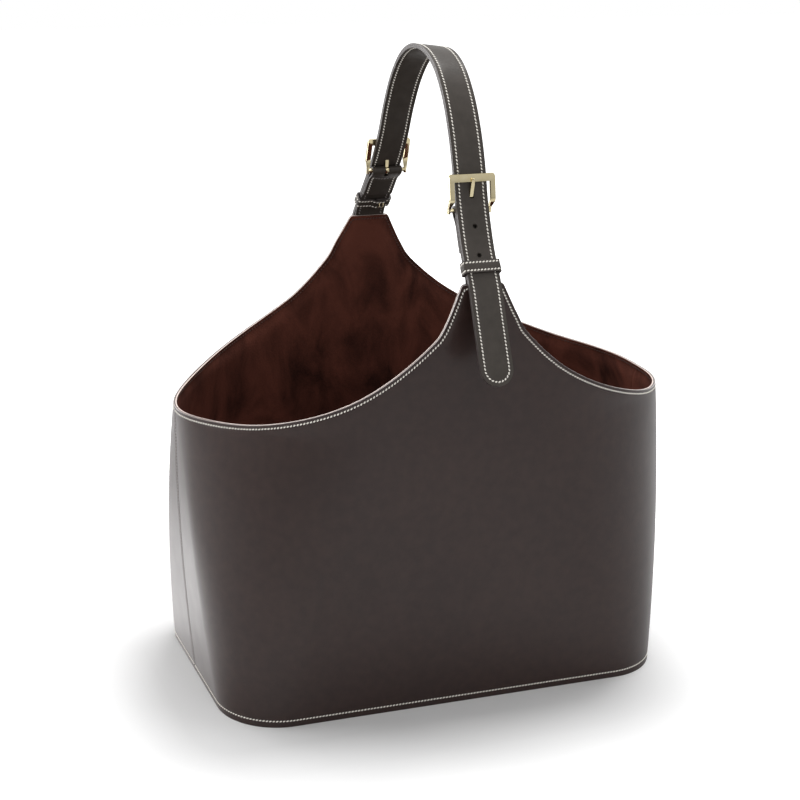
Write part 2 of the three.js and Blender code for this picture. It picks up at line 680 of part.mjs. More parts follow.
function chapeGeometry(sideY) {
  const points = chapePoints(sideY);
  const places = points.map((point, i) => {
    const before = points[Math.max(i - 1, 0)];
    const after = points[Math.min(i + 1, points.length - 1)];
    const along = new THREE.Vector3().subVectors(after, before).normalize();
    return { point, out: new THREE.Vector3(0, -along.z, along.y), halfWidth: CHAPE_WIDTH / 2 };
  });
  const half = CHAPE_THICKNESS / 2;
  const slotHalf = PRONG_WIDTH / 2 + PRONG_SIDE_CLEARANCE;
  const reach = WRAP_RADIUS + CHAPE_THICKNESS;
  const slot = boxBetween(
    new THREE.Vector3(-slotHalf, -reach, -CHAPE_SLOT_REACH),
    new THREE.Vector3(slotHalf, reach, reach),
  );
  slot.applyMatrix4(fittingGroup(sideY, heelBar(sideY)).matrix);
  return cutAway(stripGeometry(places, -half, half), [slot]);
}

// The keeper is one strip bent round strap and loop, with its ends lapped on the inside
function keeperOutline() {
  const [side, out, inner] = [KEEPER_HALF_WIDTH, -KEEPER_OUT, KEEPER_IN];
  const radius = KEEPER_CORNER_RADIUS;
  const [lapStart, lapEnd] = [KEEPER_LAP / 2 - KEEPER_LAP_SHIFT, -KEEPER_LAP / 2 - KEEPER_LAP_SHIFT];
  const path = new THREE.Path();
  path.moveTo(lapStart, inner);
  path.lineTo(-side + radius, inner);
  path.absarc(-side + radius, inner - radius, radius, Math.PI / 2, Math.PI, false);
  path.lineTo(-side, out + radius);
  path.absarc(-side + radius, out + radius, radius, Math.PI, 1.5 * Math.PI, false);
  path.lineTo(side - radius, out);
  path.absarc(side - radius, out + radius, radius, -Math.PI / 2, 0, false);
  path.lineTo(side, inner - radius);
  path.absarc(side - radius, inner - radius, radius, 0, Math.PI / 2, false);
  path.lineTo(lapStart + 2 * KEEPER_LAP_STEP, inner);
  path.lineTo(lapStart + LAYER_GAP, inner + KEEPER_LAP_STEP);
  path.lineTo(lapEnd, inner + KEEPER_LAP_STEP);
  return path.getPoints(4).filter((p, i, all) => i === 0 || p.distanceTo(all[i - 1]) > radius / 50);
}

function keeperGeometry() {
  const line = keeperOutline();
  const half = KEEPER_THICKNESS / 2;
  const layer = (depth) => line.map((point, i) => {
    const before = line[Math.max(i - 1, 0)];
    const after = line[Math.min(i + 1, line.length - 1)];
    const into = new THREE.Vector2().subVectors(point, before).normalize();
    const onward = new THREE.Vector2().subVectors(after, point).normalize();
    const along = new THREE.Vector2().addVectors(into, onward).normalize();
    const cosine = Math.max(along.dot(i === 0 ? onward : into), 0.5);
    const shift = depth / cosine;
    const [x, y] = [point.x - along.y * shift, point.y + along.x * shift];
    return [-KEEPER_HEIGHT / 2, KEEPER_HEIGHT / 2].map((z) => new THREE.Vector3(x, y, z));
  });
  const cutters = stapleBoxes(STAPLE_HOLE_CLEARANCE).flatMap(({ legs }) => legs);
  return cutAway(skinGeometry(layer(half), layer(-half)), cutters);
}

// Two wire staples close the keeper: a crown outside and two legs through the lapped ends
function stapleBoxes(clearance = 0) {
  const legStart = KEEPER_IN - KEEPER_THICKNESS / 2 - (clearance ? OVERRUN : 0);
  const crownStart = KEEPER_IN + KEEPER_LAP_STEP + KEEPER_THICKNESS / 2 + STAPLE_HOLE_CLEARANCE;
  const half = STAPLE_WIRE / 2 + clearance;
  const crownEnd = crownStart + STAPLE_WIRE;
  return [-1, 1].map((side) => {
    const x = side * STAPLE_SPACING / 2 - KEEPER_LAP_SHIFT;
    const legAt = STAPLE_LENGTH / 2 - STAPLE_WIRE / 2;
    const legs = [-legAt, legAt].map((z) => boxBetween(
      new THREE.Vector3(x - half, legStart, z - half),
      new THREE.Vector3(x + half, crownEnd, z + half),
    ));
    const crown = boxBetween(
      new THREE.Vector3(x - half, crownStart, -STAPLE_LENGTH / 2),
      new THREE.Vector3(x + half, crownEnd, STAPLE_LENGTH / 2),
    );
    return { legs, crown };
  });
}

// The fittings of one side of the handle
function handleSide(sideY, side) {
  const buckle = buckleGroup(sideY);
  buckle.add(piece(`${side}_buckle_frame`, buckleFrameGeometry(), paleBrass));
  buckle.add(piece(`${side}_buckle_prong`, prongGeometry(), paleBrass));
  const keeperUp = sideY < 0 ? FRONT_KEEPER_UP_STRAP : REAR_KEEPER_UP_STRAP;
  const keeper = fittingGroup(sideY, aboveNeck(sideY, keeperUp));
  keeper.add(piece(`${side}_keeper`, keeperGeometry(), strapLeather));
  stapleBoxes().forEach(({ legs, crown }, i) => {
    const name = `${side}_keeper_staple_${['left', 'right'][i]}`;
    keeper.add(piece(name, joined([crown, ...legs]), paleBrass));
  });
  return [piece(`${side}_chape`, chapeGeometry(sideY), strapLeather), buckle, keeper];
}

function tubPieces() {
  const frontPanel = wallGeometry(frontPanelLines(), 0, PANEL_THICKNESS, 0);
  const rearPanel = wallGeometry(rearPanelLines(), 0, PANEL_THICKNESS, 0);
  const baseBoardTop = BASE_BOARD_LEVEL + BASE_BOARD_THICKNESS;
  const baseBoard = plateGeometry(LINING_OFFSET, BASE_BOARD_LEVEL, baseBoardTop);
  const baseLiningDepth = LINING_INNER_OFFSET + LAYER_GAP;
  const baseLiningTop = LINING_LEVEL + BASE_LINING_THICKNESS;
  const baseLining = plateGeometry(baseLiningDepth, LINING_LEVEL, baseLiningTop);
  return [
    piece('front_panel', frontPanel, outerLeather),
    piece('rear_panel', rearPanel, outerLeather),
    piece('front_board', boardGeometry(-1, -SEAM_EDGE - LAYER_GAP), leatherboard),
    piece('rear_board', boardGeometry(1, TONGUE_END + LAYER_GAP), leatherboard),
    piece('front_lining', liningGeometry(-1), suede),
    piece('rear_lining', liningGeometry(1), suede),
    piece('base_panel', trayGeometry(), outerLeather),
    piece('base_board', baseBoard, leatherboard),
    piece('base_lining', baseLining, suede),
  ];
}

const basket = new THREE.Group();
basket.add(...tubPieces(), ...strapPieces());
basket.add(...handleSide(-1, 'front'), ...handleSide(1, 'rear'));

export default basket;
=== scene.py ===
"""Looks of a leather magazine basket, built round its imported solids.

Lengths are metres, in the frame of the solids: +X along the tub, -Y the front, +Z up.
"""

import bisect
import math
from contextlib import contextmanager

import bpy
from mathutils import Matrix, Vector, geometry, noise


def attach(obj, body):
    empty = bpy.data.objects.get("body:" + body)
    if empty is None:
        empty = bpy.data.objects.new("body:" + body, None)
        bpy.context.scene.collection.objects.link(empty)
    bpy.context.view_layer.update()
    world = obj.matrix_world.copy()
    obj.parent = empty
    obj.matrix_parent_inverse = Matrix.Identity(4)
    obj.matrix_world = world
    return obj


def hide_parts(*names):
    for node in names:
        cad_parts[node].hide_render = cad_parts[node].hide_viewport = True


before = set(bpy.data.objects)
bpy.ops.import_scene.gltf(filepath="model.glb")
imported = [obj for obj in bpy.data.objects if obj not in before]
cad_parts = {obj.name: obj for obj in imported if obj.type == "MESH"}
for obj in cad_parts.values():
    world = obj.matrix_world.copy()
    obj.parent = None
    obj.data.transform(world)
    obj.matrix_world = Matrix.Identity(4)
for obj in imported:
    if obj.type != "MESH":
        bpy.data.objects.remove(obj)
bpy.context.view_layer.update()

# Tub outline, outside of the leather
BASE_LENGTH = 0.352
BASE_DEPTH = 0.213
BASE_CORNER = 0.046
BASE_ROUNDNESS = 2.0
RIM_LENGTH = 0.380
RIM_DEPTH = 0.229
RIM_CORNER_LENGTH = {-1: 0.118, 1: 0.137}
RIM_ROUNDNESS = {-1: 1.3, 1: 2.0}
RIM_CORNER_SOFT = {-1: 0.020, 1: 0}
RIM_END_FLAT = 0.015
END_RIM_HEIGHT = 0.218
END_BULGE = 0.0035
NECK_HEIGHT = 0.325
NECK_WIDTH = 0.031
NECK_DEPTH = 0.232
NECK_CORNER_ROUND = 0.0025
RIM_ALONG_SHARES = [0, 0.066, 0.129, 0.292, 0.51, 0.783, 1]
RIM_RISE_SHARES = {(-1, -1): [1, 0.72, 0.59, 0.386, 0.202, 0.042, -0.02],
                   (-1, 1): [1, 0.825, 0.66, 0.40, 0.203, 0.042, -0.02],
                   (1, -1): [1, 0.792, 0.632, 0.394, 0.206, 0.055, -0.01],
                   (1, 1): [1, 0.78, 0.635, 0.415, 0.220, 0.055, -0.01]}

# Depths of the wall's layers under the outside: leather, stiffening board, suede, and what they
# are skived to at the rim, but not where the leather loops lie in the necks
LEATHER_INNER = 0.00178
BOARD_INNER = 0.00348
SUEDE_INNER = 0.0046
RIM_DEPTHS = {0: 0, LEATHER_INNER: 0.0010, BOARD_INNER: 0.0018, SUEDE_INNER: 0.0030}
SKIVE_START = 0.0035
SKIVE_END = 0.0120
SKIVE_FREE = 0.0125
BOARD_BOTTOM = 0.0123
SUEDE_BOTTOM = 0.0046
SEAM_EDGE = 0.003
SEAM_GAP = 0.00005
EDGE_BREAK = 0.0003
MERGE_DISTANCE = 0.00001
BREAK_ABOVE = math.radians(50)
SMOOTH_BELOW = math.radians(35)
LEATHER_RIPPLE = 0.00015
SUEDE_RIPPLE = 0.0004
RIPPLE_LENGTH = 0.045

# Bottom
TRAY_BOTTOM = 0.0004
TRAY_TOP = 0.0019
TRAY_EDGE_BREAK = 0.0004
FLOOR_SUEDE_INSET = 0.0048
FLOOR_SUEDE_TOP = 0.0056

# Sewing
STITCH_PITCH = 0.0025
STITCH_LENGTH = 0.0021
STITCH_WIDTH = 0.00105
STITCH_FLATNESS = 0.65
STITCH_ARCH = 0.00026
STITCH_ENDS_SUNK = 0.00005
STITCH_SLANT = math.radians(27)
THREAD_SUNK = 0.00007
RIM_SEWING = 0.0027
BASE_SEWING = 0.005
EDGE_SEWING = 0.003
SEWING_CLEARANCE = 0.003
SEWN_DIPS = [(0.00022, 0.0006), (0.00012, 0.002)]

# Strap, and the fittings on it
STRAP_WIDTH = 0.024
STRAP_HALF = 0.00165
STRAP_LAYER_GAP = 0.00003
STRAP_TOP_HEIGHT = 0.475
STRAP_LEAN = 0.010
STRAP_LEAN_RISE = 0.085
STRAP_TWIST = math.radians(7)
STRAP_TWIST_RISE = 0.070
STRAP_NECK_GAP = 0.0011
STRAP_TIP_DROP = 0.064
STRAP_TIP_SPREAD = 0.031
BOW_OUT_SHARES = [1, 0.875, 0.782, 0.699, 0.627, 0.543, 0.429, 0.286, 0.143]
BOW_RISE_SHARES = [0, 0.134, 0.248, 0.361, 0.495, 0.656, 0.81, 0.927, 0.984]
TIP_SHARES = [0.33, 0.67, 1]
HOLE_RADIUS = 0.0015
HOLE_FLARE = 2.6
HOLE_FLARE_DEPTH = 0.0005
HOLE_SPACING = 0.021
HOLE_ABOVE_HEEL = 0.008
SPARE_HOLES = 2
PUNCH_LENGTH = 0.008
PRONG_SLOT_ROUND = 0.0009
CHAPE_WIDTH = 0.024
CHAPE_THICKNESS = 0.0014
CHAPE_DIP = 0.6
CHAPE_INSERT = 0.045
CHAPE_REACH_UP = 0.010
CHAPE_TURN = 0.030
CHAPE_CLOSE = 0.012
CHAPE_SLACK = 0.0001
CHAPE_STEP = 0.0012
CHAPE_SLOT_REACH = 0.0055
CHAPE_SLOT_ROUND = 0.0013
TURN_SEWING_START = 0.007
TURN_SEWING_END = 0.002
NECK_SEWING_START = 0.001
NECK_SEWING_LENGTH = 0.024
BOW_SEWING_DROP = 0.0035
BOW_SEWING_UP = 0.0005
BOW_SEWING_OUT = 0.0001
GREY_SEWING_OUT = 0.00002
LAYER_GAP = 0.0003
HEEL_UP_STRAP = {-1: 0.0555, 1: 0.0595}
KEEPER_UP_STRAP = {-1: 0.013, 1: 0.019}
HEEL_RADIUS = 0.0015
BUCKLE_WIDTH = 0.0344
BUCKLE_SPACING = 0.0225
BUCKLE_BAR = 0.0036
BUCKLE_THICKNESS = 0.0026
BUCKLE_CORNER = 0.0012
BUCKLE_EDGE_ROUND = 0.0011
BUCKLE_HEEL_REACH = 0.0024
BUCKLE_BOW = {-1: 0.004, 1: 0.0015}
BUCKLE_BOW_AT = 0.38
BUCKLE_HEEL_TAPER = 0.45
BUCKLE_BAR_RISE = 0.0015
BUCKLE_BAR_ROUND = 0.0013
BUCKLE_LEG_CUTS = 18
PRONG_WIDTH = 0.0026
PRONG_THICKNESS = 0.0018
PRONG_TIP_FLAT = 0.45
PRONG_TIP_NARROW = 0.22
PRONG_ROUND = 0.0005
PRONG_RING_WALL = 0.001
PRONG_RING_ROUND = 0.0002
PRONG_CLEARANCE = 0.0005
PRONG_LIFT = math.radians(5)
KEEPER_HEIGHT = 0.009
KEEPER_THICKNESS = 0.0014
KEEPER_DIP = 0.8
KEEPER_CLEARANCE = 0.0007
KEEPER_CORNER = 0.0016
KEEPER_LAP = 0.008
KEEPER_LAP_SHIFT = 0.005
KEEPER_SEWING = 0.0029
KEEPER_SEWING_END = 0.001
STAPLE_RADIUS = 0.00045
STAPLE_LENGTH = 0.0055
STAPLE_BEND = 0.0007
STAPLE_SPACING = 0.0032

HALF_WIDTH = STRAP_WIDTH / 2
CHAPE_OFFSET = STRAP_HALF + LAYER_GAP + CHAPE_THICKNESS / 2
WRAP_RADIUS = HEEL_RADIUS + LAYER_GAP + CHAPE_THICKNESS / 2
HEEL_OFFSET = CHAPE_OFFSET + WRAP_RADIUS
KEEPER_OUT = STRAP_HALF + KEEPER_CLEARANCE + KEEPER_THICKNESS / 2
KEEPER_IN = CHAPE_OFFSET + (CHAPE_THICKNESS + KEEPER_THICKNESS) / 2 + KEEPER_CLEARANCE
KEEPER_HALF_WIDTH = HALF_WIDTH + KEEPER_CLEARANCE + KEEPER_THICKNESS / 2
KEEPER_STEP = KEEPER_THICKNESS + LAYER_GAP
PRONG_REST = (BUCKLE_THICKNESS + PRONG_THICKNESS) / 2 + LAYER_GAP
SLOT_HALF_WIDTH = PRONG_WIDTH / 2 + PRONG_CLEARANCE
SIDES = {"front": -1, "rear": 1}

# Photograph's camera
CAMERA_AZIMUTH = math.radians(-20.665)
CAMERA_ELEVATION = math.radians(18.118)
CAMERA_ROLL = math.radians(1.337)
CAMERA_DISTANCE = 1.4107
CAMERA_TARGET = Vector((-0.02856, 0.01216, 0.2036))
PHOTO_SIDE = 800
FOCAL_PIXELS = 1835.85
PRINCIPAL_X = 376.23
PRINCIPAL_Y = 399.32
SENSOR = 36

# Studio: the floor's sweep to white, what polished things mirror, among it a glowing pool painted
# on the floor, and each lamp's place, size and watts
WHITE = "#ffffff"
FLOOR_PAINT = "#e8e8e8"
SHADOW_CENTRE = (-0.045, -0.03, 0)
SHADOW_HALF_SIZE = (0.13, 0.07, 0)
# Middle of the floor's glowing pool, a painted reflection for the tub's left end
PAINTED_GLOW_POOL_CENTRE = (-0.26, 0.16, 0)
ROOM_LIGHT = 0.5
CEILING_DIRECTION = (0, 0.6, 0.8)
LAMP_AIM = (0, 0, 0.2)
LAMPS = {"top_softbox": ((0.3, 0.35, 1.95), (0.8, 0.8), 22),
         "left_softbox": ((-1.4, 0.6, 1.0), (1.0, 1.2), 11),
         "front_softbox": ((0.1, -2.0, 1.5), (1.0, 1.0), 5.5),
         "back_strip": ((-0.8, 1.1, 0.4), (0.5, 0.7), 6)}


def lerp(a, b, share):
    return a + (b - a) * share


def spaced(low, high, steps):
    """Evenly spaced values, from low to high."""
    return [lerp(low, high, i / steps) for i in range(steps + 1)]


def mirrored(shares):
    """Values either side of a middle, from the lowest to the highest."""
    return [-share for share in reversed(shares)] + [0] + shares


def ease(value, low, high):
    share = min(max((value - low) / (high - low), 0), 1)
    return share * share * (3 - 2 * share)


# Materials

def linear(hex_colour):
    """The linear colour of an sRGB hex value."""
    channels = [int(hex_colour[i:i + 2], 16) / 255 for i in (1, 3, 5)]
    return [c / 12.92 if c <= 0.04045 else ((c + 0.055) / 1.055) ** 2.4 for c in channels] + [1]


def add(tree, kind, inputs=None, **settings):
    """Adds a node with its settings, and sets or links its inputs."""
    node = tree.nodes.new("ShaderNode" + kind)
    for name, value in settings.items():
        setattr(node, name, value)
    for name, value in (inputs or {}).items():
        if isinstance(value, bpy.types.NodeSocket):
            tree.links.new(value, node.inputs[name])
        else:
            node.inputs[name].default_value = value
    return node


def clouds(tree, where, scale, detail, **more):
    inputs = {"Vector": where, "Scale": scale, "Detail": detail, **more}
    return add(tree, "TexNoise", inputs).outputs[0]


def ranged(tree, value, from_min, from_max, to_min=0.0, to_max=1.0):
    return add(tree, "MapRange", {"Value": value, "From Min": from_min, "From Max": from_max,
                                  "To Min": to_min, "To Max": to_max}).outputs[0]


def blend(tree, share, dark, light):
    """A colour between two hex values."""
    return add(tree, "Mix", {"Factor": share, 6: linear(dark), 7: linear(light)},
               data_type="RGBA").outputs[2]


def relief(tree, height, distance, strength, **below):
    inputs = {"Height": height, "Distance": distance, "Strength": strength, **below}
    return add(tree, "Bump", inputs).outputs[0]


def number(tree, operation, *values):
    return add(tree, "Math", dict(enumerate(values)), operation=operation).outputs[0]


def vector(tree, operation, *values):
    """A vector sum, or the number that it gives for a length, a distance or a product."""
    outputs = add(tree, "VectorMath", dict(enumerate(values)), operation=operation).outputs
    gives_number = operation in ("LENGTH", "DISTANCE", "DOT_PRODUCT")
    return outputs["Value" if gives_number else "Vector"]


def new_material(name):
    """An empty node material, with its tree and its place on the object."""
    material = bpy.data.materials.new(name)
    material.use_nodes = True
    tree = material.node_tree
    tree.nodes.clear()
    return material, tree, add(tree, "TexCoord").outputs["Object"]


def show(tree, kind, inputs):
    """Ends a material in a shader with its inputs."""
    add(tree, "OutputMaterial", {"Surface": add(tree, kind, inputs).outputs[0]})


def satin_calf(name, dark, light, roughness, specular, coat):
    """Aniline-dyed calf with a satin top coat: soft mottling of the dye, and pores too fine to
    see one by one, so they are drawn 0.9 mm wide and only break up the gloss."""
    material, tree, where = new_material(name)
    mottle = clouds(tree, where, 11, 4, Roughness=0.6)
    dye = number(tree, "MULTIPLY_ADD", mottle, 0.8, clouds(tree, where, 140, 3))
    pores = add(tree, "TexVoronoi", {"Vector": where, "Scale": 1100}, feature="SMOOTH_F1")
    soft = relief(tree, clouds(tree, where, 16, 2), 0.0016, 0.35)
    show(tree, "BsdfPrincipled", {
        "Base Color": blend(tree, ranged(tree, dye, 0.7, 1.3), dark, light),
        "Roughness": ranged(tree, mottle, 0.3, 0.7, roughness + 0.04, roughness - 0.04),
        "IOR": 1.5, "Specular IOR Level": specular, "Coat Weight": coat, "Coat Roughness": 0.22,
        "Normal": relief(tree, pores.outputs[0], 0.00006, 0.5, Normal=soft)})
    return material


def edge_paint(name, dark, light, roughness, coat):
    """Acrylic edge paint over the cut layers of leather: a little wavy, and where it is polished it
    mirrors the backdrop as a pale line.
    Given pale colours, the paint's own colour also paints that line in as a highlight."""
    material, tree, where = new_material(name)
    runs = clouds(tree, where, 260, 2)
    show(tree, "BsdfPrincipled", {
        "Base Color": blend(tree, runs, dark, light), "Roughness": roughness, "Coat Weight": coat,
        "Coat Roughness": 0.12, "Normal": relief(tree, runs, 0.0004, 0.5)})
    return material


def split_suede(name, deep, bright):
    """Brushed split leather: the nap lies this way and that, so that it shows darker and brighter
    patches some 30 mm across, and its edge fibres catch the light."""
    material, tree, where = new_material(name)
    lay = add(tree, "Mapping", {"Vector": where, "Scale": (1, 1, 0.55)}).outputs[0]
    patches = clouds(tree, lay, 34, 5, Roughness=0.55, Distortion=0.6)
    nap = clouds(tree, where, 900, 2)
    lit = number(tree, "MULTIPLY_ADD", nap, 0.35, ranged(tree, patches, 0.33, 0.68))
    show(tree, "BsdfPrincipled", {
        "Base Color": blend(tree, lit, deep, bright), "Roughness": 0.95,
        "Specular IOR Level": 0.15, "Sheen Weight": 0.12, "Sheen Roughness": 0.5,
        "Sheen Tint": linear("#a05a48"), "Normal": relief(tree, nap, 0.0003, 0.7)})
    return material


def raw_edge(name, dark, light):
    """Cut edge of undyed fibre, pale and matt, with the fibres' fine grain."""
    material, tree, where = new_material(name)
    fibres = clouds(tree, where, 700, 3)
    show(tree, "BsdfPrincipled", {
        "Base Color": blend(tree, fibres, dark, light), "Roughness": 0.85,
        "Normal": relief(tree, fibres, 0.0003, 0.6)})
    return material


def plated_brass(name, dark, light):
    """Brass with a pale gold plate, tumbled bright: hairline scratches spread its reflections."""
    material, tree, where = new_material(name)
    drawn = add(tree, "Mapping", {"Vector": where, "Scale": (0.15, 1, 1)}).outputs[0]
    hairlines = clouds(tree, drawn, 2600, 2)
    show(tree, "BsdfPrincipled", {
        "Base Color": blend(tree, clouds(tree, where, 240, 2), dark, light), "Metallic": 1.0,
        "Roughness": ranged(tree, hairlines, 0, 1, 0.06, 0.15),
        "Normal": relief(tree, hairlines, 0.00002, 0.3)})
    return material


def waxed_thread(name, groove_shade, crest):
    """Three-ply waxed polyester thread: the plies wind round each stitch, three turns a stitch,
    and show as slanting lines of shade, painted darker into the colour between them and drawn by a
    bump."""
    material, tree, _ = new_material(name)
    own = add(tree, "UVMap", uv_map="UVMap").outputs[0]
    turned = add(tree, "Mapping", {"Vector": own, "Scale": (3.0, 1.0, 1.0)}).outputs[0]
    plies = add(tree, "TexWave", {"Vector": turned, "Scale": 0.32, "Distortion": 0.2},
                wave_type="BANDS", bands_direction="DIAGONAL").outputs[0]
    show(tree, "BsdfPrincipled", {
        "Base Color": blend(tree, plies, groove_shade, crest), "Roughness": 0.55,
        "Normal": relief(tree, plies, 0.00008, 0.6)})
    return material


tub_leather = satin_calf("dark_brown_satin_calf", "#291916", "#34221d", 0.40, 0.28, 0.35)
strap_leather = satin_calf("grey_brown_satin_calf", "#3b3631", "#46403b", 0.48, 0.20, 0.10)
painted_edge = edge_paint("dark_edge_paint", "#2e2725", "#453c3a", 0.5, 0.15)
# The rim's edge paint is pale grey so that the rim reads as a bright line: a painted highlight on
# top of the coat's reflection.
rim_edge_painted_highlight = edge_paint("rim_edge_paint_painted_highlight", "#8f8482", "#b7acaa", 0.25, 0.7)
suede = split_suede("red_brown_split_suede", "#1d0c09", "#62372c")
suede_edge = raw_edge("pale_split_edge", "#d8c0b5", "#f8ece6")
board = raw_edge("bonded_leatherboard", "#7a5c40", "#9c7b58")
gold = plated_brass("pale_gold_plated_brass", "#d6c69a", "#e4d9b8")
cream_thread = waxed_thread("cream_waxed_thread", "#e2dacd", "#fbf7ee")
# The end seams are sewn with the same cream thread as the rest. Their grey thread is painted shade,
# for the stitch shadows along them. The loops' grey rows use it too.
grey_thread = waxed_thread("grey_waxed_thread", "#5a5452", "#8d8785")
brown_thread = waxed_thread("brown_waxed_thread", "#2b1712", "#4d2c23")


# Curves

def cubic(start, end, leave, arrive, t):
    """A point of the cubic between two points that leaves and arrives with given slopes."""
    return (start + leave * t + (3 * (end - start) - 2 * leave - arrive) * t ** 2
            + (2 * (start - end) + leave + arrive) * t ** 3)


def curve_through(knots, steps=60):
    """Points of the centripetal Catmull-Rom curve through the knots."""
    knots = [knots[0] * 2 - knots[1], *knots, knots[-1] * 2 - knots[-2]]
    curve = []
    for before, start, end, after in zip(knots, knots[1:], knots[2:], knots[3:]):
        first, second, third = [max((b - a).length, 1e-9) ** 0.5
                                for a, b in ((before, start), (start, end), (end, after))]
        leave = ((start - before) / first - (end - before) / (first + second)
                 + (end - start) / second) * second
        arrive = ((end - start) / second - (after - start) / (second + third)
                  + (after - end) / third) * second
        curve += [cubic(start, end, leave, arrive, step / steps) for step in range(steps)]
    return curve + [knots[-2]]


class Line:
    """A curve that is walked by its length."""

    def __init__(self, points):
        self.points = points
        self.arcs = [0]
        for before, after in zip(points, points[1:]):
            self.arcs.append(self.arcs[-1] + (after - before).length)
        self.length = self.arcs[-1]

    def find(self, arc):
        """The stretch that an arc length falls in, by its end point, and the share of it."""
        i = min(max(bisect.bisect_right(self.arcs, arc), 1), len(self.points) - 1)
        return i, (arc - self.arcs[i - 1]) / max(self.arcs[i] - self.arcs[i - 1], 1e-12)

    def at(self, arc):
        i, share = self.find(arc)
        return self.points[i - 1].lerp(self.points[i], share)

    def heading(self, arc, reach=0.0004):
        low = max(arc - reach, 0)
        high = min(arc + reach, self.length)
        return (self.at(high) - self.at(low)).normalized()


# Outline of the tub

def half_depth(z):
    """Half the tub's depth at a height: base, rim and neck lie on one gentle curve."""
    base = BASE_DEPTH / 2
    slope = (RIM_DEPTH / 2 - base) / END_RIM_HEIGHT
    neck_slope = (NECK_DEPTH / 2 - base) / NECK_HEIGHT
    bend = (neck_slope - slope) / (NECK_HEIGHT - END_RIM_HEIGHT)
    return base + slope * z + bend * z * (z - END_RIM_HEIGHT)


def plan(z, side_x):
    """Half length, corner length and depth, and roundness of one end at a height."""
    share = min(z / END_RIM_HEIGHT, 1)
    half_length = lerp(BASE_LENGTH, RIM_LENGTH, share) / 2 + 4 * END_BULGE * share * (1 - share)
    corner_length = lerp(BASE_CORNER, RIM_CORNER_LENGTH[side_x], share)
    corner_depth = lerp(BASE_CORNER, (RIM_DEPTH - RIM_END_FLAT) / 2, share)
    roundness = lerp(BASE_ROUNDNESS, RIM_ROUNDNESS[side_x], share)
    return half_length, corner_length, corner_depth, roundness


def end_place(z, side_x, x, y, out):
    """A place near the tub's end, and outward there. Where the corners are pointed, the flat of the
    end runs softly into them, so that the rim shows no kink."""
    half_length, corner_length, corner_depth, roundness = plan(z, side_x)
    soft = RIM_CORNER_SOFT[side_x] * min(z / END_RIM_HEIGHT, 1) ** 2
    reach = half_depth(z) - corner_depth + soft
    if soft < 0.0001 or abs(y) > reach:
        return Vector((x, y, z)), out
    across = soft / corner_depth
    along = math.sqrt(1 - across ** roundness)
    depth = corner_length * (1 - along)
    slope = corner_length / corner_depth * roundness * across ** (roundness - 1) / 2 / along
    power = reach * slope / depth
    turned = depth * (abs(y) / reach) ** power
    slope = math.copysign(power * turned / max(abs(y), 1e-9), y)
    return Vector((side_x * (half_length - turned), y, z)), Vector((side_x, slope, 0)).normalized()


def end_line(side_x, side_y, start, share=0):
    """A line up the flat of the tub's end, at a share of the way from start to the corner. Like all
    wall lines it gives the place at a height, and outward."""
    def place(z):
        half_length, _, corner_depth, _ = plan(z, side_x)
        y = lerp(start, side_y * (half_depth(z) - corner_depth), share)
        return end_place(z, side_x, side_x * half_length, y, Vector((side_x, 0, 0)))
    return place


def corner_line(side_x, side_y, angle):
    def place(z):
        half_length, corner_length, corner_depth, roundness = plan(z, side_x)
        along = math.cos(angle)
        across = math.sin(angle) ** (2 / roundness)
        slope = roundness * across ** (roundness - 1) / 2
        out = Vector((side_x * along / corner_length, side_y * slope / corner_depth, 0))
        x = side_x * (half_length - corner_length * (1 - along))
        y = side_y * (half_depth(z) - corner_depth * (1 - across))
        return end_place(z, side_x, x, y, out.normalized())
    return place


def neck_line(side_y, x):
    return lambda z: (Vector((x, side_y * half_depth(z), z)), Vector((0, side_y, 0)))


def face_line(side_x, side_y, share):
    def place(z):
        half_length, corner_length, _, _ = plan(z, side_x)
        x = side_x * lerp(NECK_WIDTH / 2, half_length - corner_length, share)
        return neck_line(side_y, x)(z)
    return place


FLAT_SHARES = [0.3, 0.65]
CORNER_STEPS = 24
FACE_STEPS = 30
FACE_CROWDING = 1.3
NECK_XS = [0.0035, 0.0070, 0.0105, 0.0130, 0.0145]


def half_wall(side_x, side_y, ends):
    """Lines from the tub's end to the neck's shoulder."""
    lines = [end_line(side_x, side_y, y) for y in ends]
    lines += [end_line(side_x, side_y, ends[-1], share) for share in FLAT_SHARES]
    lines += [corner_line(side_x, side_y, angle) for angle in spaced(0, math.pi / 2, CORNER_STEPS)]
    return lines + [face_line(side_x, side_y, share ** FACE_CROWDING)
                    for share in spaced(1, 0, FACE_STEPS)[1:]]


def wall_lines(side_y, ends):
    """All lines of one wall, from the left end to the right one."""
    neck = [neck_line(side_y, x) for x in mirrored(NECK_XS)]
    return half_wall(-1, side_y, ends) + neck + half_wall(1, side_y, ends)[::-1]


SEAM_YS = [0.0022, 0.0012, 0.0006, 0, -0.0006, -0.0012, -0.0022, -0.0040]
LAPPED_WALL = wall_lines(-1, [SEAM_EDGE] + SEAM_YS)
BUTTED_WALL = wall_lines(1, [SEAM_EDGE + SEAM_GAP, SEAM_EDGE + 0.0012])
PLAIN_WALL = {side_y: wall_lines(side_y, [side_y * SEAM_GAP, side_y * SEAM_EDGE])
              for side_y in (-1, 1)}


# Rim

def rim_sweep(rises, steps=40):
    """The rim's height over its distance from the middle, finely stepped."""
    knots = [Vector((lerp(NECK_WIDTH, RIM_LENGTH, along) / 2,
                     lerp(END_RIM_HEIGHT, NECK_HEIGHT, rise)))
             for along, rise in zip(RIM_ALONG_SHARES, rises)]
    around = [knots[0], *knots, knots[-1]]
    sweep = []
    for before, start, end, after in zip(around, knots, knots[1:], around[3:]):
        sweep += [cubic(start, end, (end - before) / 2, (after - start) / 2, step / steps)
                  for step in range(steps)]
    return sweep + [knots[-1]]


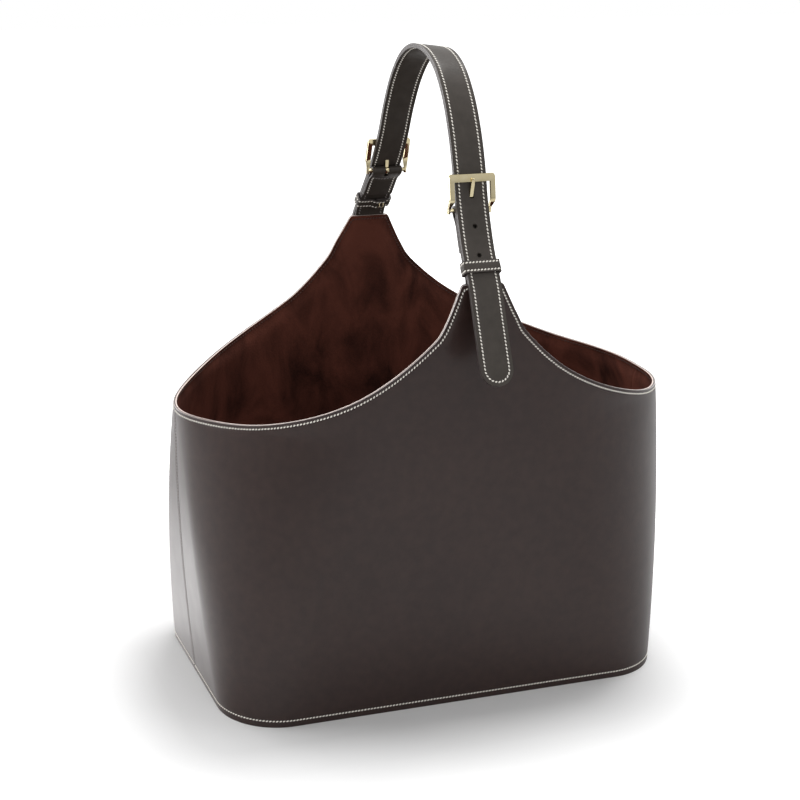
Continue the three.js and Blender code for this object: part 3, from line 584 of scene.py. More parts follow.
SWEEPS = {sides: rim_sweep(rises) for sides, rises in RIM_RISE_SHARES.items()}
SWEEP_XS = [point.x for point in SWEEPS[-1, -1]]


def rim_at(x, y):
    """The sweep's height and slope at a place in plan, carried on past its ends."""
    sweep = SWEEPS[-1 if x < 0 else 1, -1 if y < 0 else 1]
    i = min(max(bisect.bisect_right(SWEEP_XS, abs(x)), 1), len(sweep) - 1)
    start = sweep[i - 1]
    run = sweep[i] - start
    slope = run.y / run.x
    return start.y + slope * (abs(x) - start.x), slope


def rim_height(line, below=0):
    """Height on a wall line at a distance below the rim, measured square to the rim's edge."""
    z = END_RIM_HEIGHT
    for _ in range(8):
        point, out = line(z)
        height, slope = rim_at(point.x, point.y)
        neck = NECK_HEIGHT - below
        side = height - below * math.hypot(1, slope * out.y)
        near = max(1 - abs(neck - side) / NECK_CORNER_ROUND, 0)
        z = min(neck, side) - near * near * NECK_CORNER_ROUND / 4
    return z


# Making and finishing pieces

def deselect():
    if bpy.context.object and bpy.context.object.mode != "OBJECT":
        bpy.ops.object.mode_set(mode="OBJECT")
    bpy.ops.object.select_all(action="DESELECT")


def make_active(piece):
    deselect()
    piece.select_set(True)
    bpy.context.view_layer.objects.active = piece


def primitive(operator, name="part", **settings):
    """Adds a mesh primitive, its place and turn taken up in the mesh."""
    deselect()
    operator(**settings)
    bpy.ops.object.transform_apply()
    bpy.context.object.name = name
    return bpy.context.object


@contextmanager
def editing(piece):
    """Edit mode with all of the piece selected."""
    make_active(piece)
    bpy.ops.object.mode_set(mode="EDIT")
    bpy.ops.mesh.select_all(action="SELECT")
    yield
    bpy.ops.object.mode_set(mode="OBJECT")


def extrude(move):
    bpy.ops.mesh.extrude_region_move(TRANSFORM_OT_translate={"value": move})


def cut(place, direction, **settings):
    """Cuts all of the mesh at a plane."""
    bpy.ops.mesh.select_all(action="SELECT")
    bpy.ops.mesh.bisect(plane_co=place, plane_no=direction, **settings)


def close_up():
    """Joins the points that meet, and turns all faces outward."""
    bpy.ops.mesh.select_all(action="SELECT")
    bpy.ops.mesh.remove_doubles(threshold=MERGE_DISTANCE)
    bpy.ops.mesh.normals_make_consistent(inside=False)


def modify(piece, kind, **settings):
    """Adds a modifier with its settings and applies it."""
    make_active(piece)
    modifier = piece.modifiers.new(kind.lower(), kind)
    for name, value in settings.items():
        setattr(modifier, name, value)
    bpy.ops.object.modifier_apply(modifier=modifier.name)


def break_edges(piece, width, segments=2):
    modify(piece, "BEVEL", width=width, segments=segments, limit_method="ANGLE",
           angle_limit=BREAK_ABOVE)


def carve(piece, cutters):
    for cutter in cutters:
        modify(piece, "BOOLEAN", operation="DIFFERENCE", solver="EXACT", object=cutter)
        bpy.data.objects.remove(cutter)


def leather_sheet(name, face, edge, columns, rows, place, out, thickness, fullness=None):
    """A grid whose points are moved to their places on the seen face, facing out, with the finish
    of its face and edge. It gets its thickness behind the face, and its cut edges are broken. Where
    it is skived, fullness gives what is left at a grid point."""
    sheet = primitive(bpy.ops.mesh.primitive_grid_add, name, x_subdivisions=columns - 1,
                      y_subdivisions=rows - 1, size=1)
    left = sheet.vertex_groups.new(name="skived") if fullness else None
    for vertex in sheet.data.vertices:
        row, column = divmod(vertex.index, columns)
        vertex.co = place(column, row)
        if fullness:
            left.add([vertex.index], fullness(column, row), "REPLACE")
    middle = sheet.data.polygons[(rows - 1) // 2 * (columns - 1) + (columns - 1) // 2]
    corners = [sheet.data.vertices[index].co for index in middle.vertices]
    if geometry.normal(corners).dot(out) < 0:
        sheet.data.flip_normals()
    sheet.data.update()
    sheet.data.materials.append(face)
    sheet.data.materials.append(edge)
    modify(sheet, "SOLIDIFY", thickness=thickness, offset=-1, use_even_offset=True,
           material_offset_rim=1, vertex_group="skived" if fullness else "")
    sheet.vertex_groups.clear()
    break_edges(sheet, EDGE_BREAK)
    return sheet


def finish_piece(piece, slot, *nodes, body="basket", finish=None):
    """A finish where there is none yet, smooth shading over soft turns only, and the body and
    nodes that the piece stands for."""
    if finish:
        piece.data.materials.append(finish)
    make_active(piece)
    bpy.ops.object.shade_smooth_by_angle(angle=SMOOTH_BELOW)
    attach(piece, body)
    if nodes:
        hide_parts(*nodes)


# Sewing

def sewn_dip(distance):
    """How far leather is drawn in, at a distance from its line of sewing."""
    return sum(depth * math.exp(-(distance / width) ** 2) for depth, width in SEWN_DIPS)


def one_stitch():
    """Points, faces and thread coordinates of one stitch along X, half sunk at its ends."""
    stitch = primitive(bpy.ops.mesh.primitive_uv_sphere_add, segments=8, ring_count=6, radius=0.5,
                       rotation=(0, math.pi / 2, 0))
    points = []
    for vertex in stitch.data.vertices:
        along = vertex.co.x * 2
        fullness = max(1 - along ** 4, 0) ** 0.5 / max(1 - along ** 2, 1e-6) ** 0.5
        arch = STITCH_ARCH * (1 - along ** 2) - STITCH_ENDS_SUNK
        points.append(Vector((along * STITCH_LENGTH / 2, vertex.co.y * STITCH_WIDTH * fullness,
                              vertex.co.z * STITCH_WIDTH * fullness * STITCH_FLATNESS + arch)))
    faces = [list(face.vertices) for face in stitch.data.polygons]
    wound = [tuple(loop.uv) for loop in stitch.data.uv_layers.active.data]
    bpy.data.objects.remove(stitch)
    return points, faces, wound


STITCH = one_stitch()


def along_path(path):
    """Evenly spaced stitches along a path of places and outward directions."""
    line = Line([point for point, _ in path])
    count = max(round(line.length / STITCH_PITCH), 1)
    for i in range(count):
        arc = (i + 0.5) * line.length / count
        k, share = line.find(arc)
        along = (line.points[k] - line.points[k - 1]).normalized()
        out = path[k - 1][1].lerp(path[k][1], share)
        yield line.at(arc), along, (out - along * out.dot(along)).normalized()


def sew(name, paths, thread, slot, body="basket"):
    """One piece of all the stitches along some paths."""
    points, faces, wound = STITCH
    all_points, all_faces, all_wound = [], [], []
    for path in paths:
        for middle, along, out in along_path(path):
            turn = Matrix.Rotation(STITCH_SLANT, 3, out)
            axes = Matrix((turn @ along, turn @ out.cross(along), out)).transposed()
            first = len(all_points)
            all_points += [middle + axes @ point for point in points]
            all_faces += [[first + corner for corner in face] for face in faces]
            all_wound += wound
    mesh = bpy.data.meshes.new(name)
    mesh.from_pydata(all_points, [], all_faces)
    coordinates = mesh.uv_layers.new(name="UVMap")
    for loop, uv in zip(coordinates.data, all_wound):
        loop.uv = uv
    piece = bpy.data.objects.new(name, mesh)
    bpy.context.scene.collection.objects.link(piece)
    finish_piece(piece, slot, finish=thread, body=body)


# Walls

TOP_ROWS = [0, 0.0008, 0.0015, 0.0020, 0.0024, 0.0027, 0.0030, 0.0034, 0.0042, 0.0055, 0.0070,
            0.0090, 0.0120, 0.0160]
BOTTOM_ROWS = [0, 0.0008, 0.0020, 0.0034, 0.0042, 0.0046, 0.0050, 0.0054, 0.0058, 0.0066, 0.0085,
               0.0120, 0.0160]
MIDDLE_ROWS = 20


def below_rim(row):
    """A row's distance below the rim, or a metre for the rows further down."""
    row -= len(BOTTOM_ROWS) + MIDDLE_ROWS
    return TOP_ROWS[len(TOP_ROWS) - 1 - row] if row >= 0 else 1


def skived(depth, below, x):
    """Depth of a layer's face at a distance below the rim and a place along the tub."""
    full = max(ease(below, SKIVE_START, SKIVE_END), 1 - ease(abs(x), SKIVE_FREE, NECK_WIDTH / 2))
    return lerp(RIM_DEPTHS[depth], depth, full)


def wall_row(line, bottom, row):
    """Height of a row on a wall line, and its distance from the nearest level line of sewing."""
    if row < len(BOTTOM_ROWS):
        z = BOTTOM_ROWS[row]
        return bottom + z, abs(z - BASE_SEWING)
    if below_rim(row) < 1:
        return rim_height(line, below_rim(row)), abs(below_rim(row) - RIM_SEWING)
    row -= len(BOTTOM_ROWS)
    low = bottom + BOTTOM_ROWS[-1]
    high = rim_height(line, TOP_ROWS[-1])
    return lerp(low, high, (row + 1) / (MIDDLE_ROWS + 1)), 1


def ripple(point, height):
    """Slight unevenness of a hand-lasted skin, from 0 to height."""
    return height * (0.5 + 0.5 * noise.noise(point / RIPPLE_LENGTH))


def wall_layer(name, face, edge, lines, seen, hidden, bottom, uneven, sewn=True, seam=False):
    """One layer of a wall, from its seen face to its hidden one, both as depths under the outside.
    The layers that are sewn dip along the sewing, and where there is a seam, along that too."""
    inward = 1 if hidden > seen else -1

    def place(column, row):
        line = lines[column]
        z, distance = wall_row(line, bottom, row)
        point, out = line(z)
        if seam and abs(out.x) > 0.9:
            distance = min(distance, abs(point.y))
        dip = sewn_dip(distance) if sewn else 0
        depth = skived(seen, below_rim(row), point.x) + inward * (dip + ripple(point, uneven))
        return point - out * depth

    def fullness(column, row):
        line = lines[column]
        x = line(wall_row(line, bottom, row)[0])[0].x
        left = skived(hidden, below_rim(row), x) - skived(seen, below_rim(row), x)
        return left / (hidden - seen)

    rows = len(BOTTOM_ROWS) + MIDDLE_ROWS + len(TOP_ROWS)
    _, out = lines[len(lines) // 2](0)
    return leather_sheet(name, face, edge, len(lines), rows, place, out * inward,
                         abs(hidden - seen), fullness)


def rim_path(lines, face, sunk):
    """A line of sewing below the rim, sunk into the leather's or the suede's face."""
    path = []
    for line in lines:
        point, out = line(rim_height(line, RIM_SEWING))
        facing = out if face == 0 else -out
        path.append((point - out * skived(face, RIM_SEWING, point.x) - facing * sunk, facing))
    return path


def outer_path(places, sunk):
    """A line of sewing through places on the outer leather, each with its outward direction."""
    return [(point - out * sunk, out) for point, out in places]


def seam_places(side_x):
    """The upright seam at one end, clear of the two level lines of sewing."""
    line = end_line(side_x, -1, 0)
    high = rim_height(line, RIM_SEWING + SEWING_CLEARANCE)
    return [line(z) for z in spaced(BASE_SEWING + SEWING_CLEARANCE, high, 60)]


def neck_room(side_y):
    """Room in the stiffening board for the lower end of the leather loop."""
    return primitive(bpy.ops.mesh.primitive_cube_add, size=1,
                     location=(0, side_y * NECK_DEPTH / 2, NECK_HEIGHT),
                     scale=(CHAPE_WIDTH + 2 * LAYER_GAP, NECK_DEPTH / 3,
                            2 * (CHAPE_INSERT + LAYER_GAP)))


def tub_walls():
    for side, lines in (("front", LAPPED_WALL), ("rear", BUTTED_WALL)):
        panel = wall_layer(f"{side}_leather", tub_leather, rim_edge_painted_highlight, lines,
                           0, LEATHER_INNER, 0, LEATHER_RIPPLE, seam=side == "front")
        finish_piece(panel, "outer_leather", f"{side}_panel")
    for side, side_y in SIDES.items():
        lines = PLAIN_WALL[side_y]
        stiff = wall_layer(f"{side}_stiffening", board, painted_edge, lines,
                           LEATHER_INNER, BOARD_INNER, BOARD_BOTTOM, 0, sewn=False)
        carve(stiff, [neck_room(side_y)])
        finish_piece(stiff, "leatherboard", f"{side}_board")
        lining = wall_layer(f"{side}_suede", suede, suede_edge, lines,
                            SUEDE_INNER, BOARD_INNER, SUEDE_BOTTOM, SUEDE_RIPPLE)
        for edge in lining.data.polygons:
            if abs(edge.center.y) < 2 * EDGE_BREAK:
                edge.material_index = 0
        finish_piece(lining, "suede_lining", f"{side}_lining")
    sunk = sewn_dip(0) + THREAD_SUNK
    outer = [LAPPED_WALL[1:-1], BUTTED_WALL[1:-1]]
    base = [outer_path([line(BASE_SEWING) for line in lines], sunk) for lines in outer]
    seams = [outer_path(seam_places(side_x), sunk) for side_x in (-1, 1)]
    rim = [rim_path(lines, 0, sunk) for lines in outer]
    inside = [rim_path(PLAIN_WALL[side_y], SUEDE_INNER, sunk) for side_y in (-1, 1)]
    sew("rim_stitching", rim, cream_thread, "outer_leather")
    sew("base_stitching", base, cream_thread, "outer_leather")
    # Grey thread at the seams: painted shade over stitches that are cream
    sew("seam_stitching", seams, grey_thread, "outer_leather")
    sew("lining_stitching", inside, brown_thread, "suede_lining")


# Bottom

def plate(name, depth, bottom, top, edge):
    """A flat plate in the tub's plan, drawn in by a depth: a disc shaped, drawn up and broken."""
    around = PLAIN_WALL[-1] + PLAIN_WALL[1][::-1]
    flat = primitive(bpy.ops.mesh.primitive_circle_add, name, vertices=len(around), radius=1,
                     fill_type="NGON")
    for vertex, line in zip(flat.data.vertices, around):
        point, out = line(bottom)
        vertex.co = point - out * depth
    with editing(flat):
        extrude((0, 0, top - bottom))
        close_up()
    break_edges(flat, edge)
    return flat


def tub_bottom():
    tray = plate("bottom_leather", LEATHER_INNER, TRAY_BOTTOM, TRAY_TOP, TRAY_EDGE_BREAK)
    finish_piece(tray, "outer_leather", "base_panel", finish=tub_leather)
    lining = plate("bottom_suede", FLOOR_SUEDE_INSET, SUEDE_BOTTOM, FLOOR_SUEDE_TOP, EDGE_BREAK)
    finish_piece(lining, "suede_lining", "base_lining", finish=suede)
    base_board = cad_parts["base_board"].data
    base_board.materials.clear()
    base_board.materials.append(board)


# The strap's middle line

def strap_leg(side_y):
    """Knots from a hanging tip up to the strap's top."""
    neck_out = NECK_DEPTH / 2 + STRAP_HALF + STRAP_NECK_GAP
    top = STRAP_TOP_HEIGHT - STRAP_HALF
    knots = [Vector((0, side_y * (neck_out + STRAP_TIP_SPREAD * share),
                     NECK_HEIGHT - STRAP_TIP_DROP * share)) for share in reversed(TIP_SHARES)]
    for out, rise in zip(BOW_OUT_SHARES, BOW_RISE_SHARES):
        z = lerp(NECK_HEIGHT, top, rise)
        lean = STRAP_LEAN * ease(z, NECK_HEIGHT, NECK_HEIGHT + STRAP_LEAN_RISE)
        knots.append(Vector((0, side_y * neck_out * out - lean, z)))
    return knots


STRAP_KNOTS = [*strap_leg(-1), Vector((0, -STRAP_LEAN, STRAP_TOP_HEIGHT - STRAP_HALF)),
               *reversed(strap_leg(1))]
KNOT_STEPS = 60
STRAP = Line(curve_through(STRAP_KNOTS, KNOT_STEPS))


def on_strap(arc, across, depth):
    """A place on the strap, along it, across it and off its middle line, and outward there."""
    along = STRAP.heading(arc)
    middle = STRAP.at(arc)
    out = Vector((0, -along.z, along.y))
    roll = STRAP_TWIST * ease(middle.z, STRAP_TOP_HEIGHT - STRAP_TWIST_RISE, STRAP_TOP_HEIGHT)
    level = Vector((math.cos(roll), 0, 0)) - out * math.sin(roll)
    thick = out * math.cos(roll) + Vector((math.sin(roll), 0, 0))
    return middle + level * across + thick * depth, thick


def above_neck(side_y, distance, inward=0):
    """A place by its distance up the strap from a neck, with inward and up."""
    index = len(TIP_SHARES) if side_y < 0 else len(STRAP_KNOTS) - 1 - len(TIP_SHARES)
    arc = STRAP.arcs[index * KNOT_STEPS] - side_y * distance
    along = STRAP.heading(arc)
    inward_direction = Vector((0, along.z, -along.y))
    return STRAP.at(arc) + inward_direction * inward, inward_direction, along * -side_y


def fitting_place(side_y, place, tilt=0):
    """Axes of a fitting: X across, Y into the basket, Z up the strap."""
    point, inward, up = place
    across = Vector((-side_y, 0, 0))
    axes = Matrix((across, inward, up)).transposed().to_4x4()
    return Matrix.Translation(point) @ axes @ Matrix.Rotation(tilt, 4, "X")


def heel_bar(side_y):
    return above_neck(side_y, HEEL_UP_STRAP[side_y], HEEL_OFFSET)


def buckle_place(side_y):
    """The frame tilts until its far bar clears the strap's outer face."""
    point, inward, up = heel_bar(side_y)
    tilt = 0
    for _ in range(8):
        reach = (BUCKLE_BAR * math.sin(tilt) + BUCKLE_THICKNESS * math.cos(tilt)) / 2
        offset = STRAP_HALF + LAYER_GAP + reach
        run = math.sqrt(BUCKLE_SPACING ** 2 - (HEEL_OFFSET + offset) ** 2)
        far = above_neck(side_y, HEEL_UP_STRAP[side_y] + run, -offset)[0] - point
        tilt = math.atan2(-far.dot(inward), far.dot(up))
    return fitting_place(side_y, (point, inward, up), tilt)


# Strap

TIP_STEPS = 16
STRAP_STEP = 0.0026
ACROSS_SHARES = mirrored([0.14, 0.3, 0.45, 0.58, 0.67, 0.71, 0.75, 0.79, 0.84, 0.91, 0.97, 1])


def strap_rows():
    """Distances along the strap, close together in its round tips."""
    tip = [HALF_WIDTH * (1 - math.cos(math.pi / 2 * (i + 0.25) / TIP_STEPS))
           for i in range(TIP_STEPS)]
    straight = round((STRAP.length - STRAP_WIDTH) / STRAP_STEP)
    body = spaced(HALF_WIDTH, STRAP.length - HALF_WIDTH, straight)
    return tip + body + [STRAP.length - arc for arc in reversed(tip)]


def into_tip(arc):
    """How far a place lies past the start of a round tip."""
    return max(HALF_WIDTH - arc, HALF_WIDTH - (STRAP.length - arc), 0)


def strap_layer(name, seen):
    """One of the strap's two layers, its seen face at a distance from the middle line."""
    rows = strap_rows()
    side = 1 if seen > 0 else -1

    def place(column, row):
        past = into_tip(rows[row])
        across = ACROSS_SHARES[column] * math.sqrt(HALF_WIDTH ** 2 - min(past, HALF_WIDTH) ** 2)
        dip = sewn_dip(HALF_WIDTH - math.hypot(past, across) - EDGE_SEWING)
        return on_strap(rows[row], across, seen - side * dip)[0]

    out = on_strap(rows[len(rows) // 2], 0, 0)[1] * side
    return leather_sheet(name, strap_leather, painted_edge, len(ACROSS_SHARES), len(rows), place,
                         out, STRAP_HALF - STRAP_LAYER_GAP)


def hole_cutter(side_y, distance):
    """A punch with a flared neck, which leaves a hole with a pressed rim on the outer face."""
    punch = primitive(bpy.ops.mesh.primitive_cylinder_add, vertices=24, radius=HOLE_RADIUS,
                      depth=PUNCH_LENGTH, rotation=(math.pi / 2, 0, 0))
    with editing(punch):
        cut((0, -STRAP_HALF + HOLE_FLARE_DEPTH, 0), (0, 1, 0))
    for vertex in punch.data.vertices:
        if vertex.co.y < -STRAP_HALF:
            vertex.co.x *= HOLE_FLARE
            vertex.co.z *= HOLE_FLARE
    punch.data.transform(fitting_place(side_y, above_neck(side_y, distance)))
    return punch


def prong_slot_cutter(side_y):
    """Room for the prong through both layers, from rest to its lifted end."""
    half = PRONG_THICKNESS / 2 + LAYER_GAP
    slope = PRONG_REST / BUCKLE_SPACING
    far = BUCKLE_SPACING - BUCKLE_BAR / 2
    deep = (slope + math.tan(PRONG_LIFT)) * far
    room = primitive(bpy.ops.mesh.primitive_cube_add, size=1)
    for vertex in room.data.vertices:
        at_far = vertex.co.z > 0
        y = half - slope * far * at_far if vertex.co.y > 0 else -half - deep * at_far
        vertex.co = (math.copysign(SLOT_HALF_WIDTH, vertex.co.x), y, far * at_far)
    break_edges(room, PRONG_SLOT_ROUND, 3)
    room.data.transform(buckle_place(side_y))
    return room


def strap_holes():
    cutters = []
    for side_y in SIDES.values():
        cutters.append(prong_slot_cutter(side_y))
        used = HEEL_UP_STRAP[side_y] + HOLE_ABOVE_HEEL
        cutters += [hole_cutter(side_y, used - i * HOLE_SPACING) for i in range(1, SPARE_HOLES + 1)]
    return cutters


def strap_sewing_path(side):
    """All round the strap at the sewing's distance from its edge, on one face."""
    inset = HALF_WIDTH - EDGE_SEWING
    straight = 240
    turn = 16
    far = STRAP.length - HALF_WIDTH
    angles = [math.pi * i / turn for i in range(1, turn + 1)]
    track = [(arc, inset) for arc in spaced(HALF_WIDTH, far, straight)]
    track += [(far + inset * math.sin(angle), inset * math.cos(angle)) for angle in angles[:-1]]
    track += [(arc, -across) for arc, across in reversed(track[:straight + 1])]
    track += [(HALF_WIDTH - inset * math.sin(angle), -inset * math.cos(angle)) for angle in angles]
    depth = STRAP_HALF - sewn_dip(0) - THREAD_SUNK
    path = [on_strap(arc, across, side * depth) for arc, across in track]
    return [(point, out * side) for point, out in path]


def handle_strap():
    outer = strap_layer("strap_outer", STRAP_HALF)
    lining = strap_layer("strap_back", -STRAP_HALF)
    for layer in (outer, lining):
        carve(layer, strap_holes())
    finish_piece(outer, "strap_leather", "handle_strap_outer")
    finish_piece(lining, "strap_back_leather", "handle_strap_lining")
    sew("strap_stitching", [strap_sewing_path(1)], cream_thread, "strap_leather")
    sew("strap_back_stitching", [strap_sewing_path(-1)], cream_thread, "strap_back_leather")


# Leather loops that hold the buckles

def chape_line(side_y):
    """Middle line of the loop: up out of the neck, over the heel bar, and back down inside."""
    slot = LEATHER_INNER + CHAPE_THICKNESS / 2 + CHAPE_SLACK
    fold = HEEL_UP_STRAP[side_y]
    heel, inward, up = heel_bar(side_y)
    knots = [Vector((0, side_y * (half_depth(z) - slot), z))
             for z in spaced(NECK_HEIGHT - CHAPE_INSERT, NECK_HEIGHT, 2)]
    knots += [above_neck(side_y, distance, CHAPE_OFFSET)[0]
              for distance in spaced(CHAPE_REACH_UP, fold, 8)]
    for angle in spaced(0, math.pi, 10)[1:-1]:
        rise, turn = math.sin(angle), math.cos(angle)
        knots.append(heel + up * WRAP_RADIUS * rise - inward * WRAP_RADIUS * turn)
    wide = HEEL_OFFSET + WRAP_RADIUS
    close = CHAPE_OFFSET + CHAPE_THICKNESS + LAYER_GAP
    for down in spaced(0, CHAPE_TURN, 10):
        off = lerp(wide, close, ease(down, 0, CHAPE_CLOSE))
        knots.append(above_neck(side_y, fold - down, off)[0])
    return Line(curve_through(knots, 12))


def on_chape(line, side_y, arc, across, depth):
    along = line.heading(arc)
    out = Vector((0, -along.z, along.y)) * -side_y
    return line.at(arc) + Vector((across, 0, 0)) + out * depth, out


def chape_slot_cutter(side_y):
    """Room for the prong's ring in the fold."""
    reach = WRAP_RADIUS + CHAPE_THICKNESS
    slot = primitive(bpy.ops.mesh.primitive_cube_add, size=2)
    for vertex in slot.data.vertices:
        z = reach if vertex.co.z > 0 else -CHAPE_SLOT_REACH
        vertex.co = (vertex.co.x * SLOT_HALF_WIDTH, vertex.co.y * reach * 1.2, z)
    break_edges(slot, CHAPE_SLOT_ROUND, 4)
    slot.data.transform(fitting_place(side_y, heel_bar(side_y)))
    return slot


def leather_loop(side, side_y):
    line = chape_line(side_y)
    rows = round(line.length / CHAPE_STEP)
    half = CHAPE_THICKNESS / 2

    def place(column, row):
        across = ACROSS_SHARES[column] * CHAPE_WIDTH / 2
        dip = sewn_dip(CHAPE_WIDTH / 2 - abs(across) - EDGE_SEWING) * CHAPE_DIP
        return on_chape(line, side_y, line.length * row / rows, across, half - dip)[0]

    out = on_chape(line, side_y, line.length * (rows // 2) / rows, 0, 0)[1]
    sheet = leather_sheet(f"{side}_loop_leather", strap_leather, painted_edge, len(ACROSS_SHARES),
                          rows + 1, place, out, CHAPE_THICKNESS)
    carve(sheet, [chape_slot_cutter(side_y)])
    finish_piece(sheet, "strap_leather", f"{side}_chape")
    turned, grey_sewn = chape_sewing(line, side_y)
    sew(f"{side}_loop_stitching", turned, cream_thread, "strap_leather")
    sew(f"{side}_loop_worn_stitching", grey_sewn, grey_thread, "strap_leather")


def chape_sewing(line, side_y):
    """Rows along both edges of the turned-back layer, then the rows sewn in grey thread: those
    below it, and a bow of stitches that closes the fold under the heel bar."""
    inset = CHAPE_WIDTH / 2 - EDGE_SEWING
    surface = CHAPE_THICKNESS / 2 - sewn_dip(0) * CHAPE_DIP - THREAD_SUNK
    start = line.length - CHAPE_TURN + TURN_SEWING_START
    neck = CHAPE_INSERT + NECK_SEWING_START
    turned = []
    grey_sewn = []
    for edge in (-inset, inset):
        turned.append([on_chape(line, side_y, arc, edge, surface)
                       for arc in spaced(start, line.length - TURN_SEWING_END, 24)])
        lower = [on_chape(line, side_y, arc, edge, -CHAPE_THICKNESS / 2 - GREY_SEWING_OUT)
                 for arc in spaced(neck, neck + NECK_SEWING_LENGTH, 20)]
        grey_sewn.append([(point, -out) for point, out in lower])
    bow = []
    for across in spaced(-inset, inset, 16):
        arc = start + BOW_SEWING_DROP * (1 - (across / inset) ** 2) - BOW_SEWING_UP
        bow.append(on_chape(line, side_y, arc, across, surface + BOW_SEWING_OUT))
    return turned, grey_sewn + [bow]


# Buckles

def bow_legs(ring, side_y):
    """The legs narrow and turn in towards the heel bar, and run level with the strap above that.
    The far bar's upper half rises and rounds back, so that it catches the light from above."""
    leg_x = (BUCKLE_WIDTH - BUCKLE_BAR) / 2
    for vertex in ring.data.vertices:
        share = vertex.co.z / BUCKLE_SPACING
        turned_in = ease(share, 0.02, BUCKLE_BOW_AT)
        level = min(max((1 - share) / (1 - BUCKLE_BOW_AT), 0), 1)
        rise = max(vertex.co.z - BUCKLE_SPACING, 0) / (BUCKLE_BAR / 2)
        outer = max(-vertex.co.y, 0) / (BUCKLE_THICKNESS / 2)
        vertex.co.z += BUCKLE_BAR_RISE * rise
        vertex.co.y += BUCKLE_BAR_ROUND * rise * outer - BUCKLE_BOW[side_y] * turned_in * level
        middle = math.copysign(leg_x, vertex.co.x)
        if share < BUCKLE_BOW_AT:
            vertex.co.x = middle + (vertex.co.x - middle) * lerp(BUCKLE_HEEL_TAPER, 1, turned_in)


def buckle_frame(side, side_y):
    """A plate inset to a ring, its far corners rounded, opened at the heel and drawn thick."""
    top = BUCKLE_SPACING + BUCKLE_BAR / 2
    low = -BUCKLE_HEEL_REACH - 2 * BUCKLE_BAR
    ring = primitive(bpy.ops.mesh.primitive_plane_add, f"{side}_buckle", size=2)
    for vertex in ring.data.vertices:
        z = top if vertex.co.y > 0 else low
        vertex.co = (vertex.co.x * BUCKLE_WIDTH / 2, -BUCKLE_THICKNESS / 2, z)
    with editing(ring):
        bpy.ops.mesh.inset(thickness=BUCKLE_BAR)
        bpy.ops.mesh.delete(type="FACE")
    for vertex in ring.data.vertices:
        vertex.select = vertex.co.z > top - EDGE_BREAK
    bpy.ops.object.mode_set(mode="EDIT")
    bpy.ops.mesh.select_mode(type="VERT")
    bpy.ops.mesh.bevel(offset=BUCKLE_CORNER, segments=2, affect="VERTICES")
    cut((0, 0, -BUCKLE_HEEL_REACH), (0, 0, 1), clear_inner=True)
    bpy.ops.mesh.select_all(action="SELECT")
    extrude((0, BUCKLE_THICKNESS, 0))
    bpy.ops.mesh.select_all(action="SELECT")
    bpy.ops.mesh.normals_make_consistent(inside=False)
    bpy.ops.object.mode_set(mode="OBJECT")
    break_edges(ring, BUCKLE_EDGE_ROUND, 4)
    with editing(ring):
        for z in spaced(0, BUCKLE_SPACING, BUCKLE_LEG_CUTS)[1:]:
            cut((0, 0, z), (0, 0, 1))
    bow_legs(ring, side_y)
    bar = primitive(bpy.ops.mesh.primitive_cylinder_add, f"{side}_heel_bar", vertices=28,
                    radius=HEEL_RADIUS, depth=BUCKLE_WIDTH - BUCKLE_BAR,
                    rotation=(0, math.pi / 2, 0))
    break_edges(bar, EDGE_BREAK)
    for piece, nodes in ((ring, [f"{side}_buckle_frame"]), (bar, [])):
        piece.data.transform(buckle_place(side_y))
        finish_piece(piece, "pale_brass", *nodes, finish=gold, body=f"{side}_frame")


def buckle_prong(side, side_y):
    """A ring round the heel bar, and a flat rod that leans out to rest on the far bar."""
    ring_outer = HEEL_RADIUS + LAYER_GAP + PRONG_RING_WALL
    ring = primitive(bpy.ops.mesh.primitive_circle_add, f"{side}_prong_ring", vertices=32,
                     radius=ring_outer, fill_type="NOTHING", location=(-PRONG_WIDTH / 2, 0, 0),
                     rotation=(0, math.pi / 2, 0))
    with editing(ring):
        extrude((PRONG_WIDTH, 0, 0))
        close_up()
    modify(ring, "SOLIDIFY", thickness=PRONG_RING_WALL, offset=-1, use_even_offset=True)
    break_edges(ring, PRONG_RING_ROUND)

    start = ring_outer - PRONG_RING_WALL / 2
    length = BUCKLE_SPACING + BUCKLE_BAR / 4
    slope = PRONG_REST / BUCKLE_SPACING
    rod = primitive(bpy.ops.mesh.primitive_cube_add, f"{side}_prong", size=1)
    with editing(rod):
        bpy.ops.mesh.subdivide(number_cuts=9)
    for vertex in rod.data.vertices:
        share = vertex.co.z + 0.5
        z = lerp(start, length, share)
        flat = 1 - PRONG_TIP_FLAT * ease(share, 0.82, 1)
        narrow = 1 - PRONG_TIP_NARROW * ease(share, 0.75, 1)
        y = -slope * min(z, BUCKLE_SPACING) + vertex.co.y * PRONG_THICKNESS * flat
        vertex.co = (vertex.co.x * PRONG_WIDTH * narrow, y, z)
    break_edges(rod, PRONG_ROUND, 3)
    for piece, nodes in ((rod, [f"{side}_buckle_prong"]), (ring, [])):
        piece.data.transform(buckle_place(side_y))
        finish_piece(piece, "pale_brass", *nodes, finish=gold, body=f"{side}_prong")


# Keepers

